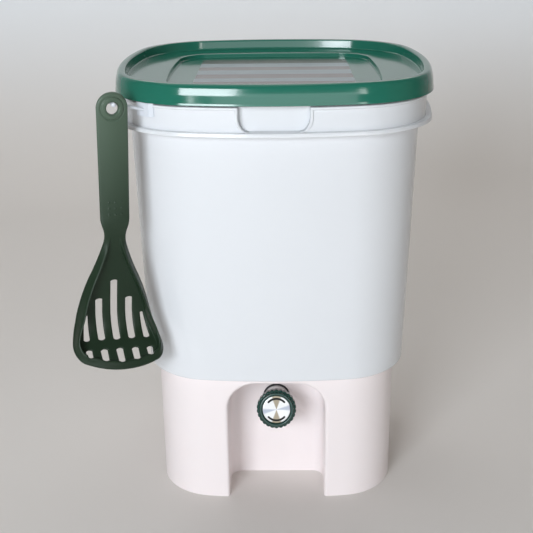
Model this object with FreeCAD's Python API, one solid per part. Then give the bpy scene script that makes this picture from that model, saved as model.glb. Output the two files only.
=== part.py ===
import FreeCAD, Part
import math
import os

# Kitchen bokashi bin in millimetres: X right, Y back, Z up, origin on the floor under the bin's axis.
V = FreeCAD.Vector

# How far a cutting shape runs past the face that it cuts, and a length greater than any piece is wide
PAST = 1.0
BEYOND = 200.0

# Plans of the moulded shells: half width of the square, corner radius, radius of the bowed sides
FOOT_PLAN = (115.4, 52.8, 568.0)
BASE_TOP_PLAN = (115.8, 53.2, 568.4)
STEP_PLAN = (124.1, 62.9, 560.0)
COLLAR_PLAN = (132.3, 69.5, 390.0)
PANEL_PLAN = (96.0, 32.0, 900.0)
SUMP_MOUTH_PLAN = (106.0, 43.4, 558.6)

# Base: a sump raised on a skirt, with an arched niche for the tap
BASE_TOP = 130.0
BASE_WALL = 2.6
SUMP_FLOOR_TOP = 66.0
SUMP_FLOOR = 2.6
BASE_RIM = 2.6
NICHE_HALF = 45.2
NICHE_TOP = 121.0
NICHE_ARCH_RADIUS = 26.5
NICHE_BACK = -68.0
NICHE_FILLET = 10.0
NICHE_FRONT = -150.0
NICHE_EDGE_RADIUS = 1.6

# Seal between the base and the bucket
SEAL_THICKNESS = 1.0
SEAL_INSET = 1.0
SEAL_WIDTH = 8.0

# Bucket: its foot edge is (inset from the plan, rise above the step)
STEP_Z = 128.2
STEP_EDGE = [(1.6, 0.0), (0.5, 0.5), (0.0, 2.0)]
BUCKET_WALL = 2.4
LEDGE_BOTTOM = BASE_TOP + SEAL_THICKNESS
LEDGE = 2.5
DRIP_LIP_BOTTOM = 126.4
DRIP_LIP = 2.4
DRIP_LIP_GAP = 0.6
FLANGE_Z = 357.6
FLANGE = 3.2
FLANGE_REACH = 11.7
FLANGE_EDGE = 1.2
BAND_TOP = 379.8
BAND_REACH = 6.0
BEAD_REACH = 7.4
BEAD_TOP = 381.0
BEAD_WIDTH = 2.2
WINDOW_TOP_HALF = 29.0
WINDOW_FOOT_HALF = 20.5
WINDOW_CURVE_Z = 373.0
WINDOW_BULGE = (0.78, 0.42)
RIM_TOP = 387.0
RIM_FLANGE = 2.6
RIM_REACH = 4.5

# Lid: its side, the channel under its rim and the edge of its well are (inset or spread, height)
LID_TOP = 400.0
LID_LIP = 383.1
LID_LIP_REACH = 11.9
LID_SIDE = [(0.0, LID_LIP), (1.2, 394.0), (2.2, 397.8), (3.7, 399.4), (5.6, LID_TOP)]
LID_SKIN = 2.2
LID_CHANNEL = [(0.0, LID_LIP - PAST), (1.2, 394.0), (2.6, 397.0)]
LID_FLOOR = 391.2
LID_PANEL = 387.5
LID_PLUG_GAP = 0.5
LID_PLUG = 2.0
LID_WELL_DRAFT = 0.6
LID_WELL_REACH = 2.2
LID_WELL_EDGE = [(0.0, 398.8), (0.5, 399.6), (1.6, LID_TOP), (1.6, LID_TOP + PAST)]
GASKET_TOP = 389.0
GASKET_WIDTH = 4.4
LABEL_WIDTH = 152.0
LABEL_DEPTH = 176.0
LABEL_CORNER = 5.0
LABEL_THICKNESS = 0.3

# Strainer plate lying on the bucket's ledge
STRAINER_GAP = 2.0
STRAINER = 2.5
STRAINER_RIM = 7.0
STRAINER_RIM_WALL = 2.0
STRAINER_SLOT = (58.0, 5.0)
STRAINER_PITCH = (70.0, 20.0)
STRAINER_ROWS = 9
STRAINER_COLUMNS = 3

# Spigot: distances along Y, axis at SPIGOT_Z; the valve and knob are laid out on that axis,
# then moved out by TAP_REACH and tilted up about the plug's seat
SPIGOT_Z = 84.9
SPIGOT_EDGE = 0.8
TAP_TILT = 15.0
TAP_REACH = 15.8
SHANK_RADIUS = 8.2
SHANK_END = -42.0
SHANK_BORE = 5.5
WALL_HOLE_RADIUS = 8.5
WASHER_RADIUS = 12.9
WASHER = 1.8
TRIM_RADIUS = 11.6
TRIM = 3.7
NECK_RADIUS = 10.4
BARREL_RADIUS = 12.3
BARREL_DOME = -68.5
BARREL_FRONT = -80.0
PLUG_BORE = 7.0
PLUG_RADIUS = 6.93
PLUG_SEAT = -66.5
PLUG_END_GAP = 0.5
PLUG_HOLLOW = 3.8
PLUG_HOLLOW_END = -78.0
PLUG_FLANGE_RADIUS = 9.0
PLUG_FLANGE_FRONT = -82.0
STEM_RADIUS = 4.0
STEM_FRONT = -91.2
PORT_Y = -75.0
PORT_RADIUS = 2.4
SPOUT_RADIUS = 5.0
SPOUT_DROP = 19.4
RING_PLACES = {"plug_ring_rear": -70.7, "plug_ring_front": -78.8}
RING_SECTION = 0.9
RING_RADIUS = 6.0
BONNET_RADIUS = 11.0
BONNET_FRONT = -84.0
NUT_WIDTH = 25.0
NUT = 7.0
RUNNING_GAP = 0.07

# Knob on the valve's stem
KNOB_REAR = -85.0
KNOB_SHOULDER = -94.0
KNOB_FRONT = -97.0
KNOB_RADIUS = 18.5
KNOB_RING_RADIUS = 15.8
KNOB_LIP_RADIUS = 14.0
KNOB_REAR_EDGE = 1.2
KNOB_EDGE = 0.9
KNOB_RING_EDGE = 0.7
KNOB_FLUTES = 26
KNOB_FLUTE_RADIUS = 1.5
KNOB_FLUTE_DEPTH = 0.7
DISC_RADIUS = 12.9
DISC = 0.9
DISC_SINK = 1.4
DISC_EDGE = 0.3
SCREW_HEAD_RADIUS = 3.0
SCREW_HEAD = 2.0
SCREW_SHANK_RADIUS = 1.45
SCREW_LENGTH = 9.0
SCREW_GAP = 0.4

# Slotted scoop hanging on the hook, in its own frame: middle of the hanging hole, X right, -Y front, Z up
SCOOP_HOLE = V(-130.6, -136.0, 381.5)
SCOOP_YAW = 25.0
SCOOP_TILT = 2.2
SCOOP_HOLE_RADIUS = 4.8
SCOOP_EYE_RADIUS = 9.2
SCOOP_EYE = 0.6
HANDLE_HALF = 2.4
HANDLE_TOP_RADIUS = 13.2
HANDLE_FOOT_HALF = 12.6
HANDLE_FOOT = -93.0
HANDLE_NECK = -96.0
HANDLE_EDGE_RADIUS = 1.4
BLADE = 2.4
BLADE_RIM = 2.4
BLADE_FLANGE = 2.2
BLADE_SLANT = 0.06
DOT_FOOT_RADIUS = 0.9
DOT_TOP_RADIUS = 0.5
DOT_HEIGHT = 0.5
DOT_PITCH = 5.3
DOT_MIDDLE_Z = -83.5

# Right-hand side of the scoop seen from the front, from the handle's foot to the tip, as arcs;
# the blade's end and slots fall by BLADE_SLANT towards the right
SCOOP_SIDE = [((11.8, -97.5), (10.6, -101.5)), ((9.7, -105.0), (9.4, -108.5)),
              ((9.6, -112.0), (10.4, -116.0)), ((15.8, -132.0), (22.0, -146.5)),
              ((29.3, -166.5), (34.6, -188.0)), ((37.2, -197.5), (39.3, -206.0)),
              ((38.4, -214.0), (32.0, -219.6))]
SCOOP_TIP = (0.0, -224.8)

# Middle line of the blade seen from the side, as (Y, Z): two arcs that belly back, then a straight lip
BLADE_LINE = [(0.4, -104.0), (7.6, -140.0), (12.0, -176.0), (10.4, -193.0), (4.0, -204.4), (-17.6, -225.6)]
RIM_FRONT = [(-1.0, -116.0), (0.6, -158.0), (-1.6, -188.0), (-7.6, -206.0), (-19.0, -226.0)]

# Slots as (middle, width) at the top and at the foot, with the heights of both, one side of the middle
LONG_SLOTS = [((0.0, 5.8), (0.0, 5.9), -151.3, -203.7), ((13.4, 5.9), (13.4, 5.9), -168.6, -203.5),
              ((24.8, 2.4), (26.6, 5.1), -183.8, -203.8)]
LIP_SLOTS = [((0.0, 5.8), (0.0, 5.3), -211.4, -219.1), ((13.7, 5.9), (13.7, 5.5), -211.6, -217.9),
             ((26.8, 5.4), (26.6, 4.4), -211.6, -215.8)]
SLOT_END_ROUND = 0.3

# Hook clipped on the collar's bead, with an arm that comes from behind and through the scoop's hole
HOOK_ROD_RADIUS = 1.2
HOOK_CLIP = 2.0
HOOK_CLIP_GAP = 0.05
HOOK_CLIP_BOX = (V(-114.0, -122.0, 371.0), V(-99.0, -104.0, 382.2))
HOOK_TIP = -5.3
HOOK_TIP_RADIUS = 1.9
HOOK_BEND_START = 2.8
HOOK_BEND = 3.5
HOOK_ARM = 26.8
HOOK_ARM_FALL = 16.6
HOOK_PIN_GAP = 0.12


def grow(plan, amount):
    """Plan moved outwards by amount, as a parallel curve."""
    return tuple(size + amount for size in plan)


def between(low_plan, low_z, high_plan, high_z, z):
    """Plan part-way up a wall that is straight between two plans."""
    share = (z - low_z) / (high_z - low_z)
    return tuple(low + share * (high - low) for low, high in zip(low_plan, high_plan))


def base_plan(z):
    return between(FOOT_PLAN, 0.0, BASE_TOP_PLAN, BASE_TOP, z)


def bucket_plan(z):
    return between(STEP_PLAN, STEP_Z, COLLAR_PLAN, FLANGE_Z, z)


def plan_wire(plan, z):
    """Four bowed sides and four corners, as arcs that meet with a common tangent."""
    half, corner, bow = plan
    rise = bow - half
    centre = (math.sqrt(2 * (bow - corner) ** 2 - rise ** 2) - rise) / 2
    turn = math.atan2(centre, centre + rise)
    side = [V(bow * math.sin(t), rise - bow * math.cos(t), z) for t in (-turn, 0, turn)]
    angles = (turn - math.pi / 2, -math.pi / 4, -turn)
    round_off = [V(centre + corner * math.cos(t), corner * math.sin(t) - centre, z) for t in angles]
    edges = []
    for quarter in range(4):
        spin = FreeCAD.Rotation(V(0, 0, 1), 90 * quarter)
        for points in (side, round_off):
            edges.append(Part.Arc(*[spin.multVec(point) for point in points]).toShape())
    return Part.Wire(edges)


def prism(plan, low, high):
    return Part.Face(plan_wire(plan, low)).extrude(V(0, 0, high - low))


def tapered(sections):
    """Straight-walled solid through (plan, z) sections."""
    return Part.makeLoft([plan_wire(plan, z) for plan, z in sections], True, True)


def ring(outer, inner, low, high):
    return prism(outer, low, high).cut(prism(inner, low - PAST, high + PAST))


def outline(start, steps, plane):
    """Closed face from a start point through (end,) lines and (middle, end) arcs, on a named plane."""
    place = {"XZ": lambda p: V(p[0], 0, p[1]), "YZ": lambda p: V(0, p[0], p[1])}[plane]
    edges = []
    last = place(start)
    for step in steps:
        spots = [place(point) for point in step]
        if len(spots) == 1:
            edges.append(Part.LineSegment(last, spots[0]).toShape())
        else:
            edges.append(Part.Arc(last, spots[0], spots[1]).toShape())
        last = spots[-1]
    return Part.Face(Part.Wire(edges))


def turned(profile):
    """Solid of revolution round the spigot's axis, from (Y, radius) corners."""
    points = [V(0, y, SPIGOT_Z + radius) for y, radius in profile]
    face = Part.Face(Part.makePolygon(points + points[:1]))
    return face.revolve(V(0, 0, SPIGOT_Z), V(0, 1, 0), 360)


def rod(radius, y_from, y_to, x=0.0, z=SPIGOT_Z):
    return Part.makeCylinder(radius, abs(y_to - y_from), V(x, min(y_from, y_to), z), V(0, 1, 0))


def tilted(shape):
    """The shape moved from the spigot's axis to where the valve and knob point up and forward."""
    shape.rotate(V(0, PLUG_SEAT, SPIGOT_Z), V(1, 0, 0), -TAP_TILT)
    shape.translate(V(0, -TAP_REACH, 0))
    return shape


def niche(gap):
    """Arched recess grown by gap, with a rounded edge all round its back wall."""
    half = NICHE_HALF + gap
    radius = NICHE_ARCH_RADIUS + gap
    top = NICHE_TOP + gap
    spring = top - radius
    slant = radius * (1 - math.sqrt(0.5))
    low = -NICHE_FILLET - gap
    face = outline((-half, low), [
        ((-half, spring),),
        ((-half + slant, top - slant), (-half + radius, top)),
        ((half - radius, top),),
        ((half - slant, top - slant), (half, spring)),
        ((half, low),),
        ((-half, low),)], "XZ")
    back = NICHE_BACK + gap
    face.translate(V(0, NICHE_FRONT, 0))
    block = face.extrude(V(0, back - NICHE_FRONT, 0))
    loop = [edge for edge in block.Edges
            if edge.BoundBox.YMin > back - PAST and edge.BoundBox.ZMax > low + PAST]
    return block.makeFillet(NICHE_FILLET + gap, loop)


def niche_edges(base):
    """Edges where the niche opens through the base's front."""
    edges = []
    for edge in base.Edges:
        box = edge.BoundBox
        at_front = box.YMax < -FOOT_PLAN[0] + 2 * BASE_WALL and abs(box.Center.x) < NICHE_HALF + PAST
        if at_front and box.ZMax > PAST and box.ZMax < NICHE_TOP + PAST and box.XLength < 2 * NICHE_HALF:
            edges.append(edge)
    return edges


def make_base():
    base = tapered([(FOOT_PLAN, 0.0), (BASE_TOP_PLAN, BASE_TOP)])
    sump_top = BASE_TOP - BASE_RIM
    sump = tapered([(grow(base_plan(z), -BASE_WALL), z) for z in (SUMP_FLOOR_TOP, sump_top)])
    skirt_top = SUMP_FLOOR_TOP - SUMP_FLOOR
    skirt = tapered([(grow(base_plan(z), -BASE_WALL), z) for z in (-PAST, skirt_top)])
    mouth = prism(SUMP_MOUTH_PLAN, sump_top - PAST, BASE_TOP + PAST)
    niche_shell = niche(BASE_WALL)
    for hollow in (sump, skirt, mouth):
        base = base.cut(hollow.cut(niche_shell))
    base = base.cut(niche(0.0))
    base = base.makeFillet(NICHE_EDGE_RADIUS, niche_edges(base))
    return base.cut(rod(WALL_HOLE_RADIUS, NICHE_BACK - PAST, NICHE_BACK + BASE_WALL + PAST))


def make_base_seal():
    outer = grow(BASE_TOP_PLAN, -SEAL_INSET)
    return ring(outer, grow(outer, -SEAL_WIDTH), BASE_TOP, LEDGE_BOTTOM)


def window_face(spread):
    """Finger window in the collar, seen square to a side and grown by spread."""
    top = WINDOW_TOP_HALF + spread
    foot = WINDOW_FOOT_HALF + spread
    foot_z = FLANGE_Z + FLANGE
    across, up = WINDOW_BULGE
    middle = (foot + across * (top - foot), foot_z + up * (WINDOW_CURVE_Z - foot_z))
    return outline((top, RIM_TOP), [
        ((top, WINDOW_CURVE_Z),),
        (middle, (foot, foot_z)),
        ((-foot, foot_z),),
        ((-middle[0], middle[1]), (-top, WINDOW_CURVE_Z)),
        ((-top, RIM_TOP),),
        ((top, RIM_TOP),)], "XZ")


def four_sides(shape):
    """The shape and its copies turned on to the other three sides."""
    copies = []
    for quarter in range(4):
        copy = shape.copy()
        copy.rotate(V(0, 0, 0), V(0, 0, 1), 90 * quarter)
        copies.append(copy)
    return copies


def make_collar():
    """Band, bead and window frames that stand proud of the bucket's wall under the lid."""
    foot = FLANGE_Z + FLANGE
    wall = grow(COLLAR_PLAN, -BUCKET_WALL / 2)
    proud = grow(COLLAR_PLAN, BEAD_REACH)
    band = ring(grow(COLLAR_PLAN, BAND_REACH), wall, foot, BAND_TOP)
    frame_ring = ring(proud, wall, foot, BEAD_TOP)
    frames = [ring(proud, wall, BEAD_TOP - BEAD_WIDTH, BEAD_TOP)]
    for block in four_sides(window_face(BEAD_WIDTH).extrude(V(0, -BEYOND, 0))):
        frames.append(frame_ring.common(block))
    collar = band.multiFuse(frames)
    for block in four_sides(window_face(0.0).extrude(V(0, -BEYOND, 0))):
        collar = collar.cut(block)
    return collar


def make_bucket():
    wall = [(grow(bucket_plan(STEP_Z + rise), -inset), STEP_Z + rise) for inset, rise in STEP_EDGE]
    wall += [(COLLAR_PLAN, FLANGE_Z), (COLLAR_PLAN, RIM_TOP)]
    flange_plan = grow(COLLAR_PLAN, FLANGE_REACH)
    round_in = grow(flange_plan, -FLANGE_EDGE)
    flange_top = FLANGE_Z + FLANGE
    flange = tapered([(round_in, FLANGE_Z), (flange_plan, FLANGE_Z + FLANGE_EDGE),
                      (flange_plan, flange_top - FLANGE_EDGE), (round_in, flange_top)])
    rim = prism(grow(COLLAR_PLAN, RIM_REACH), RIM_TOP - RIM_FLANGE, RIM_TOP)
    bucket = tapered(wall).multiFuse([flange, make_collar(), rim])
    ledge_top = LEDGE_BOTTOM + LEDGE
    inside = [(grow(bucket_plan(ledge_top), -BUCKET_WALL), ledge_top),
              (grow(COLLAR_PLAN, -BUCKET_WALL), FLANGE_Z),
              (grow(COLLAR_PLAN, -BUCKET_WALL), RIM_TOP + PAST)]
    bucket = bucket.cut(tapered(inside))
    lip_outer = grow(SUMP_MOUTH_PLAN, -DRIP_LIP_GAP)
    lip_inner = grow(lip_outer, -DRIP_LIP)
    bucket = bucket.cut(prism(grow(STEP_PLAN, -BUCKET_WALL), STEP_Z - PAST, LEDGE_BOTTOM))
    bucket = bucket.cut(prism(lip_inner, STEP_Z - PAST, ledge_top + PAST))
    return bucket.fuse(ring(lip_outer, lip_inner, DRIP_LIP_BOTTOM, ledge_top)).removeSplitter()


def make_lid():
    """Cap with a hollow rim, a plug wall inside the bucket and a steep well with a recessed panel."""
    lip = grow(COLLAR_PLAN, LID_LIP_REACH)
    plug_face = grow(COLLAR_PLAN, -BUCKET_WALL - LID_PLUG_GAP)
    plug_inside = grow(plug_face, -LID_PLUG)
    well = grow(COLLAR_PLAN, LID_WELL_REACH)
    recess = [(grow(well, -LID_WELL_DRAFT), LID_FLOOR)]
    recess += [(grow(well, spread), z) for spread, z in LID_WELL_EDGE]
    lid = tapered([(grow(lip, -inset), z) for inset, z in LID_SIDE]).cut(tapered(recess))
    lid = lid.cut(prism(PANEL_PLAN, LID_PANEL, LID_FLOOR + PAST))
    seat = grow(well, LID_SKIN)
    lid = lid.cut(ring(seat, plug_face, LID_LIP - PAST, GASKET_TOP))
    channel = tapered([(grow(lip, -LID_SKIN - inset), z) for inset, z in LID_CHANNEL])
    lid = lid.cut(channel.cut(prism(seat, LID_LIP - 2 * PAST, LID_TOP)))
    underside = prism(plug_inside, LID_LIP - PAST, LID_FLOOR - LID_SKIN)
    panel_boss = prism(grow(PANEL_PLAN, LID_SKIN), LID_PANEL - LID_SKIN, LID_FLOOR)
    return lid.cut(underside.cut(panel_boss))


def make_lid_gasket():
    inner = grow(COLLAR_PLAN, -BUCKET_WALL)
    return ring(grow(inner, GASKET_WIDTH), inner, RIM_TOP, GASKET_TOP)


def make_lid_label():
    sheet = Part.makeBox(LABEL_WIDTH, LABEL_DEPTH, LABEL_THICKNESS,
                         V(-LABEL_WIDTH / 2, -LABEL_DEPTH / 2, LID_PANEL))
    corners = [edge for edge in sheet.Edges if edge.BoundBox.ZLength > LABEL_THICKNESS / 2]
    return sheet.makeFillet(LABEL_CORNER, corners)


def strainer_slot(x, y, low):
    length, width = STRAINER_SLOT
    straight = length - width
    depth = STRAINER + 2 * PAST
    bar = Part.makeBox(straight, width, depth, V(x - straight / 2, y - width / 2, low - PAST))
    ends = [Part.makeCylinder(width / 2, depth, V(x + end * straight / 2, y, low - PAST)) for end in (-1, 1)]
    return bar.multiFuse(ends).removeSplitter()


def make_strainer_plate():
    low = LEDGE_BOTTOM + LEDGE
    plan = grow(bucket_plan(low), -BUCKET_WALL - STRAINER_GAP)
    plate = prism(plan, low, low + STRAINER)
    plate = plate.fuse(ring(plan, grow(plan, -STRAINER_RIM_WALL), low, low + STRAINER_RIM))
    slots = []
    for row in range(STRAINER_ROWS):
        y = (row - (STRAINER_ROWS - 1) / 2) * STRAINER_PITCH[1]
        for column in range(STRAINER_COLUMNS):
            x = (column - (STRAINER_COLUMNS - 1) / 2) * STRAINER_PITCH[0]
            slots.append(strainer_slot(x, y, low))
    return plate.cut(Part.makeCompound(slots))


def make_spigot_body():
    """Shank and neck through the wall, and a domed barrel that points up, with the spout below it."""
    edge = SPIGOT_EDGE
    shoulder = NICHE_BACK - WASHER - TRIM
    elbow = PLUG_SEAT - TAP_REACH
    body = turned([(SHANK_END, 0), (SHANK_END, SHANK_RADIUS - edge), (SHANK_END - edge, SHANK_RADIUS),
                   (shoulder, SHANK_RADIUS), (shoulder, NECK_RADIUS), (elbow, NECK_RADIUS), (elbow, 0)])
    barrel = turned([(BARREL_DOME, 0), (BARREL_DOME, BARREL_RADIUS), (BARREL_FRONT + edge, BARREL_RADIUS),
                     (BARREL_FRONT, BARREL_RADIUS - edge), (BARREL_FRONT, 0)])
    dome = Part.makeSphere(BARREL_RADIUS, V(0, BARREL_DOME, SPIGOT_Z))
    port = V(0, PORT_Y, SPIGOT_Z)
    spout = Part.makeCylinder(SPOUT_RADIUS, SPOUT_DROP, port, V(0, 0, -1))
    front = tilted(barrel.fuse(spout).fuse(dome))
    behind = rod(BEYOND, shoulder, BEYOND)
    body = body.fuse(front.cut(behind))
    body = body.cut(tilted(rod(PLUG_BORE, BARREL_FRONT - PAST, PLUG_SEAT)))
    body = body.cut(rod(SHANK_BORE, elbow - PAST, SHANK_END + PAST))
    return body.cut(tilted(Part.makeCylinder(PORT_RADIUS, SPOUT_DROP + PAST, port, V(0, 0, -1))))


def make_spigot_trim():
    """Bright ring between the outer washer and the spigot's neck."""
    rear = NICHE_BACK - WASHER
    front = rear - TRIM
    bore = SHANK_RADIUS + RUNNING_GAP
    return turned([(rear, bore), (rear, TRIM_RADIUS), (front + SPIGOT_EDGE, TRIM_RADIUS),
                   (front, TRIM_RADIUS - SPIGOT_EDGE), (front, bore)])


def make_washer(y_low, y_high):
    return rod(WASHER_RADIUS, y_low, y_high).cut(rod(WALL_HOLE_RADIUS, y_low - PAST, y_high + PAST))


def make_spigot_nut():
    low = NICHE_BACK + BASE_WALL + WASHER
    corner = NUT_WIDTH / 2 / math.cos(math.pi / 6)
    points = [V(corner * math.cos(k * math.pi / 3), low, SPIGOT_Z + corner * math.sin(k * math.pi / 3))
              for k in range(7)]
    nut = Part.Face(Part.makePolygon(points)).extrude(V(0, NUT, 0))
    return nut.cut(rod(SHANK_RADIUS + RUNNING_GAP, low - PAST, low + NUT + PAST))


def make_valve_plug():
    """Hollow plug with a side port; the port faces the wall of the barrel while the tap is shut."""
    groove = RING_RADIUS - RING_SECTION
    rear = PLUG_SEAT - PLUG_END_GAP
    profile = [(rear, 0), (rear, PLUG_RADIUS)]
    for place in RING_PLACES.values():
        profile += [(place + RING_SECTION, PLUG_RADIUS), (place + RING_SECTION, groove),
                    (place - RING_SECTION, groove), (place - RING_SECTION, PLUG_RADIUS)]
    profile += [(BARREL_FRONT, PLUG_RADIUS), (BARREL_FRONT, PLUG_FLANGE_RADIUS),
                (PLUG_FLANGE_FRONT, PLUG_FLANGE_RADIUS), (PLUG_FLANGE_FRONT, STEM_RADIUS),
                (STEM_FRONT, STEM_RADIUS), (STEM_FRONT, 0)]
    plug = turned(profile)
    plug = plug.cut(rod(PLUG_HOLLOW, rear + PAST, PLUG_HOLLOW_END))
    port = Part.makeCylinder(PORT_RADIUS, PLUG_RADIUS + PAST, V(0, PORT_Y, SPIGOT_Z), V(-1, 0, 0))
    screw_hole = rod(SCREW_SHANK_RADIUS + RUNNING_GAP, STEM_FRONT - PAST, STEM_FRONT + SCREW_LENGTH)
    return tilted(plug.cut(port).cut(screw_hole))


def make_plug_ring(place):
    return tilted(Part.makeTorus(RING_RADIUS, RING_SECTION, V(0, place, SPIGOT_Z), V(0, 1, 0)))


def make_bonnet():
    inner = PLUG_FLANGE_FRONT - RUNNING_GAP
    stem = STEM_RADIUS + RUNNING_GAP
    flange = PLUG_FLANGE_RADIUS + RUNNING_GAP
    return tilted(turned([
        (BARREL_FRONT, flange), (BARREL_FRONT, BONNET_RADIUS),
        (BONNET_FRONT + SPIGOT_EDGE, BONNET_RADIUS), (BONNET_FRONT, BONNET_RADIUS - SPIGOT_EDGE),
        (BONNET_FRONT, stem), (inner, stem), (inner, flange)]))


def make_knob():
    """Fluted hand wheel with a raised ring round the sunk disc."""
    disc_floor = KNOB_FRONT + DISC_SINK + DISC
    head_floor = disc_floor + SCREW_HEAD + SCREW_GAP
    knob = turned([(KNOB_REAR, 0), (KNOB_REAR, KNOB_RADIUS - KNOB_REAR_EDGE),
                   (KNOB_REAR - KNOB_REAR_EDGE, KNOB_RADIUS), (KNOB_SHOULDER + KNOB_EDGE, KNOB_RADIUS),
                   (KNOB_SHOULDER, KNOB_RADIUS - KNOB_EDGE),
                   (KNOB_SHOULDER - KNOB_EDGE, KNOB_RING_RADIUS + KNOB_RING_EDGE),
                   (KNOB_FRONT + KNOB_RING_EDGE, KNOB_RING_RADIUS),
                   (KNOB_FRONT, KNOB_RING_RADIUS - KNOB_RING_EDGE), (KNOB_FRONT, 0)])
    reach = KNOB_RADIUS + KNOB_FLUTE_RADIUS - KNOB_FLUTE_DEPTH
    flutes = []
    for k in range(KNOB_FLUTES):
        turn = 2 * math.pi * k / KNOB_FLUTES
        flutes.append(rod(KNOB_FLUTE_RADIUS, KNOB_REAR + PAST, KNOB_SHOULDER + KNOB_EDGE,
                          reach * math.cos(turn), SPIGOT_Z + reach * math.sin(turn)))
    knob = knob.cut(Part.makeCompound(flutes))
    pocket = DISC_RADIUS + RUNNING_GAP
    knob = knob.cut(turned([
        (disc_floor, 0), (disc_floor, pocket), (KNOB_FRONT + DISC_SINK, pocket),
        (KNOB_FRONT, KNOB_LIP_RADIUS), (KNOB_FRONT - PAST, KNOB_LIP_RADIUS), (KNOB_FRONT - PAST, 0)]))
    knob = knob.cut(rod(SCREW_HEAD_RADIUS + SCREW_GAP, KNOB_FRONT - PAST, head_floor))
    knob = knob.cut(rod(SCREW_SHANK_RADIUS + RUNNING_GAP, KNOB_FRONT, KNOB_REAR + PAST))
    return tilted(knob.cut(rod(STEM_RADIUS + RUNNING_GAP, STEM_FRONT, KNOB_REAR + PAST)))


def make_knob_screw():
    seat = KNOB_FRONT + DISC_SINK + DISC + SCREW_HEAD + SCREW_GAP
    head = rod(SCREW_HEAD_RADIUS, seat - SCREW_HEAD, seat)
    return tilted(head.fuse(rod(SCREW_SHANK_RADIUS, seat, seat + SCREW_LENGTH)))


def make_knob_face_disc():
    back = KNOB_FRONT + DISC_SINK + DISC
    return tilted(turned([(back, 0), (back, DISC_RADIUS), (back - DISC + DISC_EDGE, DISC_RADIUS),
                          (back - DISC, DISC_RADIUS - DISC_EDGE), (back - DISC, 0)]))


def mirrored(points):
    return [(-x, z) for x, z in points]


def beside(points, amount):
    """Points moved sideways by amount, square to the line they lie on."""
    moved = []
    for i, (y, z) in enumerate(points):
        before, after = points[max(i - 1, 0)], points[min(i + 1, len(points) - 1)]
        dy, dz = after[0] - before[0], after[1] - before[1]
        size = math.hypot(dy, dz)
        moved.append((y - amount * dz / size, z + amount * dy / size))
    return moved


def handle_shoulder():
    """Point where the handle's straight side runs into its round top."""
    reach = math.hypot(HANDLE_FOOT_HALF, HANDLE_FOOT)
    turn = math.acos(HANDLE_TOP_RADIUS / reach) - math.atan2(-HANDLE_FOOT, HANDLE_FOOT_HALF)
    return (HANDLE_TOP_RADIUS * math.cos(turn), HANDLE_TOP_RADIUS * math.sin(turn))


def scoop_handle():
    """Flat handle with a round top and rounded edges."""
    foot = (HANDLE_FOOT_HALF, HANDLE_FOOT)
    shoulder = handle_shoulder()
    far_foot, far_shoulder = mirrored([foot, shoulder])
    face = outline(foot, [(shoulder,), ((0.0, HANDLE_TOP_RADIUS), far_shoulder), (far_foot,), (foot,)], "XZ")
    face.translate(V(0, -HANDLE_HALF, 0))
    block = face.extrude(V(0, 2 * HANDLE_HALF, 0))
    edges = [edge for edge in block.Edges
             if edge.BoundBox.YLength < PAST and edge.BoundBox.ZMax > HANDLE_FOOT + PAST]
    return block.makeFillet(HANDLE_EDGE_RADIUS, edges)


def slanted(point, side):
    """Point of the blade's right half (side 1) or its mirror image (side -1), lowered by the slant."""
    x, z = point
    return (side * x, z - BLADE_SLANT * side * x)


def blade_face():
    """Front outline of the neck and blade: right side down, round the tip, left side up."""
    foot = (HANDLE_FOOT_HALF, HANDLE_FOOT)
    steps = [tuple(slanted(point, 1) for point in arc) for arc in SCOOP_SIDE]
    steps.append((SCOOP_TIP, slanted(SCOOP_SIDE[-1][-1], -1)))
    for arc, before in zip(SCOOP_SIDE[:0:-1], SCOOP_SIDE[-2::-1]):
        steps.append((slanted(arc[0], -1), slanted(before[-1], -1)))
    steps.append((slanted(SCOOP_SIDE[0][0], -1), mirrored([foot])[0]))
    steps.append((foot,))
    return outline(foot, steps, "XZ")


def blade_side_face():
    """Side view of the neck and blade: as thick as the handle above, then thin and dished."""
    front, back = beside(BLADE_LINE, -BLADE / 2), beside(BLADE_LINE, BLADE / 2)
    top_front, top_back = (-HANDLE_HALF, HANDLE_FOOT), (HANDLE_HALF, HANDLE_FOOT)
    return outline(top_front, [
        ((-HANDLE_HALF, HANDLE_NECK),), (front[0],), tuple(front[1:3]), tuple(front[3:5]), (front[5],),
        (back[5],), (back[4],), (back[3], back[2]), (back[1], back[0]),
        ((HANDLE_HALF, HANDLE_NECK),), (top_back,), (top_front,)], "YZ")


def blade_rim_face():
    """Side view of the walls that rise along the blade's edge."""
    line = BLADE_LINE
    return outline(RIM_FRONT[0], [
        tuple(RIM_FRONT[1:3]), tuple(RIM_FRONT[3:5]), (line[5],), (line[4],), (line[3], line[2]),
        (line[1], line[0]), (RIM_FRONT[0],)], "YZ")


def across(face):
    """Side view carried right across the scoop."""
    block = face.extrude(V(BEYOND, 0, 0))
    block.translate(V(-BEYOND / 2, 0, 0))
    return block


def through(face):
    """Front view carried right through the scoop."""
    block = face.extrude(V(0, BEYOND, 0))
    block.translate(V(0, -BEYOND / 2, 0))
    return block


def slot_face(top_end, foot_end, top, foot):
    """Slot with round ends, narrower at one end where its widths differ."""
    (x, width), (low_x, low_width) = top_end, foot_end
    a, b = width / 2, low_width / 2
    return outline((x - a, top), [
        ((x, top + SLOT_END_ROUND * a), (x + a, top)), ((low_x + b, foot),),
        ((low_x, foot - SLOT_END_ROUND * b), (low_x - b, foot)), ((x - a, top),)], "XZ")


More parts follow.
